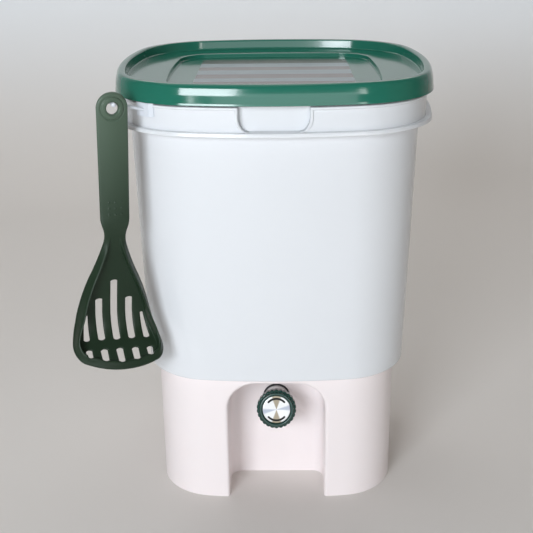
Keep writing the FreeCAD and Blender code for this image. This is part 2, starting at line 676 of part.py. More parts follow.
def lip_slot(top_end, foot_end, top, foot):
    """Slot cut square through the sloping lip, between the two given heights."""
    (y, z), (low_y, low_z) = BLADE_LINE[4], BLADE_LINE[5]
    slope = math.atan2(y - low_y, z - low_z)
    middle = (top + foot) / 2
    half = (top - foot) / 2 / math.cos(slope)
    block = through(slot_face(top_end, foot_end, half, -half))
    block.rotate(V(0, 0, 0), V(1, 0, 0), -math.degrees(slope))
    block.translate(V(0, y + (middle - z) * math.tan(slope), middle))
    return block


def grip_dots():
    """Small raised dots in a square on the handle's front."""
    dots = []
    for row in (-1, 0, 1):
        for column in (-1, 0, 1):
            spot = V(column * DOT_PITCH, -HANDLE_HALF, DOT_MIDDLE_Z + row * DOT_PITCH)
            dots.append(Part.makeCone(DOT_FOOT_RADIUS, DOT_TOP_RADIUS, DOT_HEIGHT, spot, V(0, -1, 0)))
    return dots


def both_sides(slot):
    """The slot as given and, unless it is in the middle, its mirror image, each lowered by the slant."""
    (x, width), (low_x, low_width), top, foot = slot
    pair = []
    for side in ([1] if x == 0 else [1, -1]):
        high, low = slanted((x, top), side)[1], slanted((x, foot), side)[1]
        pair.append(((side * x, width), (side * low_x, low_width), high, low))
    return pair


def pin_height():
    """Height of the hook's pin over the middle of the hole that it carries by its upper edge."""
    return SCOOP_HOLE_RADIUS - HOOK_ROD_RADIUS - HOOK_PIN_GAP


def hung(shape):
    """Shape from the scoop's frame turned and set where the scoop hangs."""
    shape.rotate(V(0, 0, 0), V(0, 0, 1), SCOOP_YAW)
    shape.translate(SCOOP_HOLE)
    return shape


def make_scoop():
    front = blade_face()
    plate = through(front).common(across(blade_side_face()))
    crest = front.makeOffset2D(-BLADE_FLANGE)
    wall = through(crest.cut(front.makeOffset2D(-BLADE_FLANGE - BLADE_RIM)))
    rim = wall.common(across(blade_rim_face()))
    eye = Part.makeCylinder(SCOOP_EYE_RADIUS, SCOOP_EYE + PAST, V(0, PAST - HANDLE_HALF, 0), V(0, -1, 0))
    scoop = scoop_handle().multiFuse([plate, rim, eye] + grip_dots())
    cuts = [Part.makeCylinder(SCOOP_HOLE_RADIUS, BEYOND, V(0, BEYOND / 2, 0), V(0, -1, 0))]
    for slot in LONG_SLOTS:
        cuts.extend(through(slot_face(*side)) for side in both_sides(slot))
    for slot in LIP_SLOTS:
        cuts.extend(lip_slot(*side) for side in both_sides(slot))
    scoop = scoop.cut(Part.makeCompound(cuts))
    scoop.rotate(V(0, 0, pin_height()), V(0, 1, 0), SCOOP_TILT)
    return hung(scoop)


def hook_arm():
    """Rod from its tip back through the scoop's hole, round a bend and down to the clip."""
    fall = math.radians(HOOK_ARM_FALL)
    along, back = V(math.cos(fall), 0, -math.sin(fall)), V(0, 1, 0)
    tip = V(0, HOOK_TIP, pin_height())
    bend_start = V(0, HOOK_BEND_START, pin_height())
    half_turn = math.sqrt(0.5)
    bend_middle = bend_start + along * HOOK_BEND * (1 - half_turn) + back * HOOK_BEND * half_turn
    bend_end = bend_start + (along + back) * HOOK_BEND
    path = Part.Wire([Part.LineSegment(tip, bend_start).toShape(),
                      Part.Arc(bend_start, bend_middle, bend_end).toShape(),
                      Part.LineSegment(bend_end, bend_end + along * HOOK_ARM).toShape()])
    section = Part.Wire(Part.makeCircle(HOOK_ROD_RADIUS, tip, back))
    rod_shape = path.makePipeShell([section], True, False)
    return hung(rod_shape.fuse(Part.makeSphere(HOOK_TIP_RADIUS, tip)))


def make_scoop_hook():
    """Clip that hugs the collar's bead, with the bent arm that carries the scoop."""
    low, high = HOOK_CLIP_BOX
    box = Part.makeBox(high.x - low.x, high.y - low.y, high.z - low.z, low)
    bead_plan = grow(COLLAR_PLAN, BEAD_REACH + HOOK_CLIP_GAP)
    band_plan = grow(COLLAR_PLAN, BAND_REACH + HOOK_CLIP_GAP)
    clip = ring(grow(bead_plan, HOOK_CLIP), band_plan, low.z, high.z).common(box)
    room = ring(bead_plan, COLLAR_PLAN, BEAD_TOP - BEAD_WIDTH - HOOK_CLIP_GAP, BEAD_TOP + HOOK_CLIP_GAP)
    return clip.cut(room).fuse(hook_arm())


inner_wall = NICHE_BACK + BASE_WALL
PIECES = {
    "base": make_base(),
    "base_seal": make_base_seal(),
    "bucket": make_bucket(),
    "lid": make_lid(),
    "lid_gasket": make_lid_gasket(),
    "lid_label": make_lid_label(),
    "strainer_plate": make_strainer_plate(),
    "spigot_body": make_spigot_body(),
    "spigot_trim": make_spigot_trim(),
    "spigot_washer_outer": make_washer(NICHE_BACK - WASHER, NICHE_BACK),
    "spigot_washer_inner": make_washer(inner_wall, inner_wall + WASHER),
    "spigot_nut": make_spigot_nut(),
    "valve_plug": make_valve_plug(),
    "bonnet": make_bonnet(),
    "knob": make_knob(),
    "knob_screw": make_knob_screw(),
    "knob_face_disc": make_knob_face_disc(),
    "scoop": make_scoop(),
    "scoop_hook": make_scoop_hook(),
}
for name, place in RING_PLACES.items():
    PIECES[name] = make_plug_ring(place)

os.makedirs("parts", exist_ok=True)
for name, shape in PIECES.items():
    shape.exportStep("parts/" + name + ".step")
    box = shape.BoundBox
    print("%-20s solids %d valid %s volume %.1f box %.1f %.1f %.1f to %.1f %.1f %.1f" % (
        name, len(shape.Solids), shape.isValid(), shape.Volume,
        box.XMin, box.YMin, box.ZMin, box.XMax, box.YMax, box.ZMax))
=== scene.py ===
"""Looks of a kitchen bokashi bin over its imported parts. Formulas are in millimetres, meshes in metres."""
import math

import bmesh
import bpy
import numpy as np
from mathutils import Matrix, Vector
from mathutils.geometry import delaunay_2d_cdt


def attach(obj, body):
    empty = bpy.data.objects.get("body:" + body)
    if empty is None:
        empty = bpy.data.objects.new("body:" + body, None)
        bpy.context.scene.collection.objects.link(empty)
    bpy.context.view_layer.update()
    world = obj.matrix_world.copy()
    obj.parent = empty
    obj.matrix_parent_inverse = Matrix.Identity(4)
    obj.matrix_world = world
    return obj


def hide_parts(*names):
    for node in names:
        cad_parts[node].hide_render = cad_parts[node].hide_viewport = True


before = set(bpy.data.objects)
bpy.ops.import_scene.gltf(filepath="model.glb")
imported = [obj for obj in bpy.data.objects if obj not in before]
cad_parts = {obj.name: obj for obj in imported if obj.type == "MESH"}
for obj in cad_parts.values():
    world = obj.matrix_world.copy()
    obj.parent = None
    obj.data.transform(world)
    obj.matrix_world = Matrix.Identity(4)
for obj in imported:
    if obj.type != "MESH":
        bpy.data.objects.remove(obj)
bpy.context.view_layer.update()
MM = 0.001

# Plans of the moulded shells: half width of the square, corner radius, radius of the bowed sides
STEP_PLAN = np.array([124.1, 62.9, 560.0])
COLLAR_PLAN = np.array([132.3, 69.5, 390.0])
PANEL_PLAN = np.array([96.0, 32.0, 900.0])
DRIP_LIP_PLAN = np.array([105.4, 42.8, 558.0])
FOOT_PLAN = np.array([115.4, 52.8, 568.0])
BASE_TOP_PLAN = np.array([115.8, 53.2, 568.4])
SUMP_MOUTH_PLAN = np.array([106.0, 43.4, 558.6])

# Base: heights, wall, and the arched niche with a soft front edge and a hole for the tap
BASE_TOP, BASE_WALL, BASE_EDGE, SUMP_FLOOR_TOP = 130.0, 2.6, 1.6, 66.0
NICHE_HALF, NICHE_TOP, NICHE_ARCH, NICHE_BACK = 45.2, 121.0, 26.5, -68.0
NICHE_FILLET, NICHE_EDGE, TAP_HOLE = 10.0, 3.0, 8.5
SUMP_BESIDE_NICHE, SUMP_BEYOND_NICHE = 1.2, 2.0
MERGE_DISTANCE, CREASE = 0.01, math.radians(35.0)

# Bucket: heights and widths, then the rows of the collar's bands near the bead and near the windows
STEP_Z, FLANGE_Z, FLANGE_TOP, FLANGE_LEAN = 128.2, 357.6, 360.8, 0.85
LEDGE_LOW, LEDGE_TOP, DRIP_LIP_LOW, DRIP_LIP = 131.0, 133.5, 126.4, 2.4
WALL, FLANGE_REACH, RIM_LOW, RIM_TOP, RIM_REACH = 2.4, 11.7, 384.4, 387.0, 4.5
BAND_REACH, BEAD_REACH, BEAD_LOW, BEAD_TOP, FRAME_WIDTH = 6.0, 7.4, 378.8, 381.0, 2.2
WINDOW_TOP_HALF, WINDOW_FOOT_HALF, WINDOW_CURVE_Z = 29.0, 20.5, 373.0
BAND_SINK, BAND_LET_IN, BAND_ROUND, BAND_ROUND_DROP, FRAME_BLEND = 0.6, 0.5, 0.6, 0.5, 0.3
BEAD_ROWS = np.array([-0.3, -0.1, 0.1, 0.4, 1.0, 1.6, 1.9, 2.1, 2.2])
FRAME_COLUMNS = np.array([0.0, 0.1, 0.3, 0.6, 1.0, 1.5, 1.9, 2.1, 2.3, 2.5, 2.8, 3.4, 5.0])

# Lid: heights and widths; its side and the hollow in its rim by inset from its plan, height and rounding
LID_TOP, LID_LIP, LID_FLOOR, LID_PANEL, LID_SKIN = 400.0, 383.1, 391.2, 387.5, 2.2
LID_PLAN = COLLAR_PLAN + 11.9
PLUG_PLAN = COLLAR_PLAN - 2.9
PLUG_INSIDE_PLAN = COLLAR_PLAN - 4.9
WELL_PLAN = COLLAR_PLAN + 2.2
WELL_DRAFT = 0.6
SEAT_PLAN = WELL_PLAN + LID_SKIN
GASKET_TOP, RIM_HOLLOW_TOP, MIDDLE_SHARE = 389.0, 397.0, 0.02
LID_SIDE = [(0.0, LID_LIP, 0.4), (0.42, LID_LIP + 1.7, 0.3), (0.9, 391.6, 1.5), (2.5, 398.0, 1.6),
            (4.4, LID_TOP, 1.6)]
RIM_HOLLOW = [(4.8, RIM_HOLLOW_TOP, 1.0), (3.4, 394.0, 1.0), (LID_SKIN, LID_LIP, 0.5)]

# Label: size, and the bands printed across it by front edge, back edge and colour
LABEL_HALF_WIDTH, LABEL_HALF_DEPTH, LABEL_CORNER, LABEL_FILM, LABEL_BLEND = 71.5, 77.0, 5.0, 0.3, 1.0
LABEL_GROUND, LABEL_STRIPE, LABEL_HEADER = (0.33, 0.4, 0.43), (0.25, 0.225, 0.22), (0.12, 0.105, 0.095)
LABEL_BANDS = [(-66.0, -53.0, LABEL_STRIPE), (-36.0, -13.0, LABEL_STRIPE), (9.0, 29.0, LABEL_STRIPE),
               (50.0, 90.0, LABEL_HEADER)]

# Tap: laid out along Y at this height, then tilted up about the valve's seat and moved out
TAP_Z, TAP_SEAT, TAP_TILT, TAP_REACH = 84.9, -66.5, math.radians(15.0), 15.8
KNOB_REAR, KNOB_SHOULDER, KNOB_FRONT = -85.0, -94.0, -97.0
KNOB_RADIUS, KNOB_RING_RADIUS, KNOB_LIP_RADIUS, DISC_RADIUS = 18.5, 15.8, 14.0, 12.9
RING_FOOT_REACH, RING_FOOT_RISE = 0.5, 0.6
DISC_BACK, DISC_FRONT, DISC_GAP, DISC_MIDDLE, DISC_DIP, DISC_BORDER = -94.7, -95.6, 0.07, 0.2, 0.12, 2.0
STEM_BORE, STEM_BORE_END, SCREW_BORE, SCREW_HEAD_BORE, SCREW_HEAD_END = 4.1, -91.2, 1.55, 3.4, -92.3
FLUTES, FLUTE_DEPTH, FLUTE_WIDTH, FLUTE_FADE = 26, 0.75, 0.95, (1.4, 0.9)

# Face of the disc: two dark arcs, and wedges of painted reflection (the spun metal's sheen painted into its
# colour) by start and end in degrees, strength and colour
ARC_RADIUS, ARC_HALF_WIDTH, ARC_BLEND, ARC_HALF_ANGLE = 10.2, 0.95, 0.1, math.radians(46.0)
UPRIGHT_PAINTED_REFLECTION = (14.0, 27.0, 0.95, (0.27, 0.23, 0.165))
LEVEL_PAINTED_REFLECTION, LEVEL_TURN = (5.0, 17.0, 0.85, (0.3, 0.33, 0.4)), math.radians(8.0)
DISC_ROUGHNESS, DISC_ROUGHNESS_SPREAD = 0.24, 0.14

# Scoop in its own frame: middle of the hanging hole, X right, -Y front, Z up
SCOOP_HOLE = np.array([-130.6, -136.0, 381.5])
SCOOP_YAW, SCOOP_TILT, PIN_HEIGHT = math.radians(25.0), math.radians(2.2), 3.48
HOLE_RADIUS, EYE_RADIUS, EYE, EYE_BLEND = 4.8, 9.2, 0.6, (0.6, 0.2)
EYE_GROOVE, EYE_GROOVE_WIDTH = 0.6, 0.5
HANDLE_HALF, HANDLE_TOP_RADIUS, HANDLE_FOOT, HANDLE_CROWN = 2.4, 13.2, (12.6, -93.0), 1.7
BLADE_HALF, BLADE_SLANT, SLANT_FADE, SCOOP_ROUND = 1.2, 0.06, 8.0, 1.5
BLADE_FADE, RIM_FADE, CROWN_FADE = (-96.0, -108.0), (-106.0, -124.0), (-100.0, -88.0)
BLADE_SOFTNESS, RIM_SOFTNESS, SIDE_VIEW_STEP, SLOPE_STEP = 5.0, 4.0, 0.5, 0.05
RIM_SLOPE, RIM_WALL = (0.2, 4.0), (4.7, 5.9)
DOT_PITCH, DOT_MIDDLE_Z, DOT_RADIUS, DOT_HEIGHT, DOT_BLEND = 5.3, -83.5, 0.9, 0.5, 0.2

# Right side of the scoop from the handle's foot to the tip: arcs as (point passed, end)
SCOOP_SIDE = [((11.8, -97.5), (10.6, -101.5)), ((9.7, -105.0), (9.4, -108.5)),
              ((9.6, -112.0), (10.4, -116.0)), ((15.8, -132.0), (22.0, -146.5)),
              ((29.3, -166.5), (34.6, -188.0)), ((37.2, -197.5), (39.3, -206.0)),
              ((38.4, -214.0), (32.0, -219.6)), ((0.0, -224.8), (-32.0, -219.6))]

# Side view of the blade's middle and of its ridge: (depth, height) on two arcs, then straight
BLADE_LINE = [(0.4, -104.0), (7.6, -140.0), (12.0, -176.0), (10.4, -193.0), (4.0, -204.4), (-17.6, -225.6)]
RIM_FRONT = [(-1.0, -116.0), (0.6, -158.0), (-1.6, -188.0), (-7.6, -206.0), (-19.0, -226.0)]

# Slots of the blade: middle and width at the top, the same at the foot, height of the top and of the foot
SLOTS = [((0.0, 5.8), (0.0, 5.9), -151.3, -203.7), ((13.4, 5.9), (13.4, 5.9), -168.6, -203.5),
         ((24.8, 2.4), (26.6, 5.1), -183.8, -203.8), ((0.0, 5.8), (0.0, 5.3), -211.4, -219.1),
         ((13.7, 5.9), (13.7, 5.5), -211.6, -217.9), ((26.8, 5.4), (26.6, 4.4), -211.6, -215.8)]
SLOT_END_ROUND = 0.3

# Mesh of the scoop: spacings, an even fill, rows beside the edges, rings round the eye and dots, clearances
OUTLINE_SPACING, SLOT_SPACING, FILL_SPACING = 1.1, 0.8, 1.9
FILL_X, FILL_Z = (-42.0, 42.1), (-226.0, 14.0)
OUTLINE_ROWS = (0.3, 0.7, 1.2, 1.8, 2.5, 3.2, 3.9, 4.5, 4.9, 5.2, 5.5, 5.9, 6.5)
SLOT_ROWS = (0.3, 0.7, 1.2)
EYE_RINGS = (5.1, 5.5, 6.2, 7.0, 8.0, 8.5, 8.8, 9.1, 9.4, 9.7, 10.0, 10.4)
DOT_RINGS = (0.35, 0.6, 0.9, 1.2)
CLEAR_OF_OUTLINE, CLEAR_OF_HOLES, CLEAR_OF_EYE, CLEAR_OF_EDGES, ON_EDGE = 7.1, 2.0, 10.8, 0.22, 1e-3

# Stage, in metres: a floor that curves up into a backdrop, which the camera sees glow a little
STAGE_REACH, STAGE_WALL_Y, STAGE_BEND, WALL_GLOW = 4.0, 1.3, 0.5, 0.19
WALL_COLOUR, WALL_GLOW_COLOUR = (0.8, 0.81, 0.83), (0.72, 0.88, 1.0, 1.0)
WORLD_COLOUR, WORLD_STRENGTH = (1.0, 0.88, 0.74, 1.0), 0.1

# Lamps: place, point that they face, width and height in metres, power in watts, colour
LAMPS = {
    "window": ((-0.95, -2.35, 1.03), (0.0, 0.0, 0.25), (0.95, 0.8), 40.5, (0.88, 0.94, 1.0)),
    "window_gap": ((-1.08, -2.38, 0.42), (0.0, 0.0, 0.39), (0.1, 0.4), 1.2, (0.94, 0.97, 1.0)),
    "front_card": ((0.15, -2.8, 0.6), (0.0, 0.0, 0.2), (2.2, 1.15), 15.5, (0.92, 0.96, 1.0)),
    "side_window": ((1.2, -2.3, 0.9), (0.0, 0.0, 0.3), (0.2, 0.6), 2.5, (1.0, 0.99, 0.98)),
    "warm_fill": ((2.0, -0.6, 0.7), (0.0, 0.0, 0.2), (1.4, 1.4), 0.45, (1.0, 0.82, 0.6)),
    "overhead": ((-0.3, 0.2, 2.2), (0.0, 0.0, 0.3), (1.6, 1.6), 7.0, (0.97, 0.985, 1.0)),
    "back_fill": ((0.0, 1.1, 1.3), (0.0, 0.0, 0.2), (1.6, 0.6), 4.0, (1.0, 0.97, 0.93)),
}

# Camera: place in metres, lens and sensor in millimetres, turns in degrees
CAMERA_PLACE, CAMERA_LENS, CAMERA_SENSOR, CAMERA_NEAR = (0.0031, -0.9115, 0.5332), 65.5, 36.0, 0.05
CAMERA_YAW, CAMERA_DOWN, CAMERA_ROLL = 0.78, 20.42, -0.63


# Shapes


def smoothstep(low, high, value):
    """3t^2 - 2t^3, where t is value's share of the way from low to high."""
    t = np.clip((value - low) / (high - low), 0.0, 1.0)
    return t * t * (3.0 - 2.0 * t)


def corner_place(half, corner, bow):
    """Arcs of a plan: rise of a side arc's centre past the middle, place of a corner arc's centre along both
    axes, and half a side arc's angle. The arcs touch: centre^2 + (centre + rise)^2 = (bow - corner)^2."""
    rise = bow - half
    centre = (np.sqrt(2.0 * (bow - corner) ** 2 - rise ** 2) - rise) / 2.0
    return rise, centre, np.arctan2(centre, centre + rise)


def plan_xy(plans, turn):
    """Bowed square with round corners, once round as turn goes from 0 to 8: sides on even steps, corners on
    odd, a quarter turn every two. Side: (bow sin a, rise - bow cos a).
    Corner: centre + corner (cos b, sin b)."""
    half, corner, bow = np.moveaxis(np.asarray(plans, float), -1, 0)[..., None]
    rise, centre, reach = corner_place(half, corner, bow)
    step = np.floor(turn)
    share = turn - step
    a = (2.0 * share - 1.0) * reach
    b = reach - math.pi / 2 + share * (math.pi / 2 - 2.0 * reach)
    side = step % 2 == 0
    x = np.where(side, bow * np.sin(a), centre + corner * np.cos(b))
    y = np.where(side, rise - bow * np.cos(a), corner * np.sin(b) - centre)
    quarter = step // 2 * math.pi / 2
    return x * np.cos(quarter) - y * np.sin(quarter), x * np.sin(quarter) + y * np.cos(quarter)


def rounded(corners, closed, steps=5, most=0.45):
    """Profile with its corners rounded: (1-t)^2 A + 2t(1-t) B + t^2 C, where A and C lie beside corner B.
    Each corner is (plan, height, radius), and takes up at most a share of the stretches beside it."""
    rows = np.array([[*plan, z] for plan, z, _ in corners])
    t = np.linspace(0.0, 1.0, steps)[:, None]
    count = len(rows)
    out = []
    for i, (_, _, radius) in enumerate(corners):
        before, here, after = rows[i - 1], rows[i], rows[(i + 1) % count]
        if not closed and i in (0, count - 1):
            out.append(here[None])
            continue
        gaps = [np.hypot(side[0] - here[0], side[3] - here[3]) for side in (before, after)]
        a, c = (here + (side - here) * min(radius / gap, most) for side, gap in zip((before, after), gaps))
        out.append((1 - t) ** 2 * a + 2 * t * (1 - t) * here + t ** 2 * c)
    return np.vstack(out)


def refined(rows, longest):
    """Rows with extra ones along any stretch that is longer than longest."""
    size = np.hypot(*np.diff(rows[:, [0, 3]], axis=0).T)
    pieces = np.maximum(np.ceil(size / longest), 1)
    place = np.concatenate([[0.0], np.cumsum(pieces)])
    spots = np.arange(int(place[-1]) + 1)
    return np.stack([np.interp(spots, place, column) for column in rows.T], axis=1)


def swept(rows, per_step=22):
    """Grid of points: each row's plan at its height."""
    turn = np.arange(8 * per_step) / per_step
    x, y = plan_xy(rows[:, :3], turn)
    return np.stack([x, y, np.broadcast_to(rows[:, 3:], x.shape)], axis=-1)


def spun(corners, closed, longest, count, radius_change=None):
    """Grid of points turned about the tap's tilted axis. The profile's corners are (radius, y before the
    tilt, rounding). At the angle a, a point lies radius cos a right of the axis and radius sin a above it."""
    profile = [(np.array([radius, 0.0, 0.0]), y, rounding) for radius, y, rounding in corners]
    rows = refined(rounded(profile, closed), longest)[:, [0, 3]]
    angle = np.arange(count) * 2.0 * math.pi / count
    radius = np.broadcast_to(rows[:, :1], (len(rows), count))
    if radius_change is not None:
        radius = radius + radius_change(rows, angle)
    ahead, up = rows[:, 1:] - TAP_SEAT, radius * np.sin(angle)
    y = TAP_SEAT - TAP_REACH + ahead * math.cos(TAP_TILT) + up * math.sin(TAP_TILT)
    z = TAP_Z - ahead * math.sin(TAP_TILT) + up * math.cos(TAP_TILT)
    return np.stack([radius * np.cos(angle), y, z], axis=-1)


def grid_faces(rows, columns, closed, around=True):
    """Quads of a grid: around joins the last column to the first, and closed the last row to the first."""
    r = np.arange(rows if closed else rows - 1)[:, None]
    c = np.arange(columns if around else columns - 1)[None, :]
    up, right = (r + 1) % rows, (c + 1) % columns
    corners = [r * columns + c, r * columns + right, up * columns + right, up * columns + c]
    return np.stack(corners, -1).reshape(-1, 4)


def with_poles(points):
    """Points and faces of a grid closed by a fan round the middle of its first and last row."""
    rows, columns = points.shape[:2]
    flat = points.reshape(-1, 3)
    poles = np.array([points[0].mean(0), points[-1].mean(0)])
    c = np.arange(columns)
    right = (c + 1) % columns
    first = np.stack([right, c, np.full(columns, len(flat))], 1)
    last = np.stack([c, right, np.full(columns, len(flat) + 1)], 1)
    last[:, :2] += (rows - 1) * columns
    faces = grid_faces(rows, columns, False).tolist() + first.tolist() + last.tolist()
    return np.vstack([flat, poles]), faces


def add_piece(name, points, faces, body, slot, material, nodes):
    """Closed, smooth mesh object that rides a body and stands for some nodes of the frame."""
    mesh = bpy.data.meshes.new(name)
    mesh.from_pydata((np.asarray(points) * MM).tolist(), [], faces)
    mesh.polygons.foreach_set("use_smooth", np.ones(len(mesh.polygons), bool))
    mesh.materials.append(material)
    piece = bpy.data.objects.new(name, mesh)
    bpy.context.scene.collection.objects.link(piece)
    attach(piece, body)
    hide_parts(*nodes)
    return piece


# Materials


def node_group(name, inputs, outputs):
    """Empty shader group with named sockets; returns the group, its input node and its output node."""
    group = bpy.data.node_groups.new(name, "ShaderNodeTree")
    kinds = {"colour": "NodeSocketColor", "value": "NodeSocketFloat", "vector": "NodeSocketVector"}
    for socket, kind in inputs:
        group.interface.new_socket(socket, in_out="INPUT", socket_type=kinds[kind])
    for socket, kind in outputs:
        group.interface.new_socket(socket, in_out="OUTPUT", socket_type=kinds[kind])
    return group, group.nodes.new("NodeGroupInput"), group.nodes.new("NodeGroupOutput")


def add_node(tree, kind, settings=None, **values):
    """Node with its settings and constant input values set; underscores in value names stand for spaces."""
    node = tree.nodes.new(kind)
    for key, value in (settings or {}).items():
        setattr(node, key, value)
    for key, value in values.items():
        node.inputs[key.replace("_", " ")].default_value = value
    return node


def moulded_skin():
    """Soft clouds of tone, smudges of gloss and a fine grain, as on moulded plastic."""
    group, given, put = node_group("moulded_skin", [
        ("Colour", "colour"), ("Cloud Colour", "colour"), ("Cloud Scale", "value"), ("Gloss", "value"),
        ("Gloss Spread", "value"), ("Grain Scale", "value"), ("Grain Depth", "value")],
        [("Colour", "colour"), ("Roughness", "value"), ("Normal", "vector")])
    link = group.links.new
    place = add_node(group, "ShaderNodeTexCoord").outputs["Object"]
    cloud = add_node(group, "ShaderNodeTexNoise", Detail=3.0, Roughness=0.55, Distortion=0.6)
    mix = add_node(group, "ShaderNodeMix", {"data_type": "RGBA"})
    smudge = add_node(group, "ShaderNodeTexNoise", Scale=38.0, Detail=4.0, Roughness=0.6)
    spread = add_node(group, "ShaderNodeMath", {"operation": "MULTIPLY_ADD"})
    centred = add_node(group, "ShaderNodeMath", {"operation": "SUBTRACT"})
    centred.inputs[1].default_value = 0.5
    grain = add_node(group, "ShaderNodeTexNoise", Detail=2.0, Roughness=0.5)
    bump = add_node(group, "ShaderNodeBump", Strength=1.0)
    for texture in (cloud, smudge, grain):
        link(place, texture.inputs["Vector"])
    link(given.outputs["Cloud Scale"], cloud.inputs["Scale"])
    link(given.outputs["Grain Scale"], grain.inputs["Scale"])
    link(cloud.outputs["Fac"], mix.inputs["Factor"])
    link(given.outputs["Colour"], mix.inputs["A"])
    link(given.outputs["Cloud Colour"], mix.inputs["B"])
    link(smudge.outputs["Fac"], centred.inputs[0])
    link(centred.outputs[0], spread.inputs[0])
    link(given.outputs["Gloss Spread"], spread.inputs[1])
    link(given.outputs["Gloss"], spread.inputs[2])
    link(grain.outputs["Fac"], bump.inputs["Height"])
    link(given.outputs["Grain Depth"], bump.inputs["Distance"])
    link(mix.outputs["Result"], put.inputs["Colour"])
    link(spread.outputs[0], put.inputs["Roughness"])
    link(bump.outputs["Normal"], put.inputs["Normal"])
    return group


def shader(name, **values):
    """New material; returns it with its node tree and its Principled shader."""
    material = bpy.data.materials.new(name)
    material.use_nodes = True
    tree = material.node_tree
    surface = tree.nodes["Principled BSDF"]
    for key, value in values.items():
        surface.inputs[key.replace("_", " ")].default_value = value
    return material, tree, surface


def moulded(name, colour, cloud, cloud_scale, gloss, spread, grain_scale=900.0, grain_depth=1e-5, **values):
    """Moulded plastic with the shared skin."""
    material, tree, surface = shader(name, **values)
    skin = add_node(tree, "ShaderNodeGroup", {"node_tree": SKIN}, Colour=(*colour, 1.0),
                    Cloud_Colour=(*cloud, 1.0), Cloud_Scale=cloud_scale, Gloss=gloss, Gloss_Spread=spread,
                    Grain_Scale=grain_scale, Grain_Depth=grain_depth)
    tree.links.new(skin.outputs["Colour"], surface.inputs["Base Color"])
    tree.links.new(skin.outputs["Roughness"], surface.inputs["Roughness"])
    tree.links.new(skin.outputs["Normal"], surface.inputs["Normal"])
    return material


def turned_metal(name, tone, cloud_tone, gloss, spread, metallic=1.0):
    """Small metal piece: the shared skin with small clouds and a fine grain."""
    return moulded(name, tone, cloud_tone, cloud_scale=60.0, gloss=gloss, spread=spread, grain_scale=2400.0,
                   Metallic=metallic)


def calc(tree, operation, *values):
    """Math node's output; each value is a number or a socket to link."""
    node = add_node(tree, "ShaderNodeMath", {"operation": operation})
    for socket, value in zip(node.inputs, values):
        if isinstance(value, (int, float)):
            socket.default_value = value
        else:
            tree.links.new(value, socket)
    return node.outputs[0]


def reach_of(tree, a, b):
    """sqrt(a^2 + b^2)."""
    return calc(tree, "SQRT", calc(tree, "ADD", calc(tree, "POWER", a, 2.0), calc(tree, "POWER", b, 2.0)))


def angle_of(tree, a, b):
    """arctan(|a| / |b|)."""
    return calc(tree, "ARCTAN2", calc(tree, "ABSOLUTE", a), calc(tree, "ABSOLUTE", b))


def fading(tree, value, low, high, start=0.0, end=1.0):
    """Smooth change from start to end as a value goes from low to high."""
    node = add_node(tree, "ShaderNodeMapRange", {"interpolation_type": "SMOOTHSTEP"},
                    From_Min=low, From_Max=high, To_Min=start, To_Max=end)
    tree.links.new(value, node.inputs["Value"])
    return node.outputs["Result"]


def blended(tree, share, first, colour):
    """Mix of a colour socket with a plain colour, by a share that varies."""
    node = add_node(tree, "ShaderNodeMix", {"data_type": "RGBA"}, B=(*colour, 1.0))
    tree.links.new(share, node.inputs["Factor"])
    tree.links.new(first, node.inputs["A"])
    return node.outputs["Result"]


def place_xyz(tree, mapping=None):
    """Object coordinates as three values, through a Mapping node where one is given."""
    spot = add_node(tree, "ShaderNodeTexCoord").outputs["Object"]
    split = add_node(tree, "ShaderNodeSeparateXYZ")
    if mapping:
        tree.links.new(spot, mapping.inputs["Vector"])
        spot = mapping.outputs["Vector"]
    tree.links.new(spot, split.inputs[0])
    return split.outputs


def tinted_by_height(material, colour, low, high):
    """Lets a second colour take over from the material's own between two heights."""
    tree = material.node_tree
    base = tree.nodes["Principled BSDF"].inputs["Base Color"]
    share = fading(tree, place_xyz(tree)["Z"], low, high)
    tree.links.new(blended(tree, share, base.links[0].from_socket, colour), base)
    return material


def printed_film():
    """Glossy film with a dark header along its back edge and three stripes across a grey-blue ground."""
    material = moulded("label_film", LABEL_GROUND, LABEL_GROUND, cloud_scale=12.0, gloss=0.16, spread=0.08,
                       grain_scale=700.0, Specular_IOR_Level=0.25)
    tree = material.node_tree
    base = tree.nodes["Principled BSDF"].inputs["Base Color"]
    y = place_xyz(tree)["Y"]
    colour = base.links[0].from_socket
    for front, back, tone in LABEL_BANDS:
        away = calc(tree, "ABSOLUTE", calc(tree, "SUBTRACT", y, (front + back) / 2 * MM))
        half = (back - front) / 2
        on_band = fading(tree, away, (half - LABEL_BLEND) * MM, half * MM, 1.0, 0.0)
        colour = blended(tree, on_band, colour, tone)
    tree.links.new(colour, base)
    return material


def painted_reflection_wedge(tree, colour, angle, start, end, strength, tone):
    """Painted reflection: a tone over a colour where an angle is small, gone between two angles in degrees.
    """
    share = fading(tree, angle, math.radians(start), math.radians(end), strength, 0.0)
    return blended(tree, share, colour, tone)


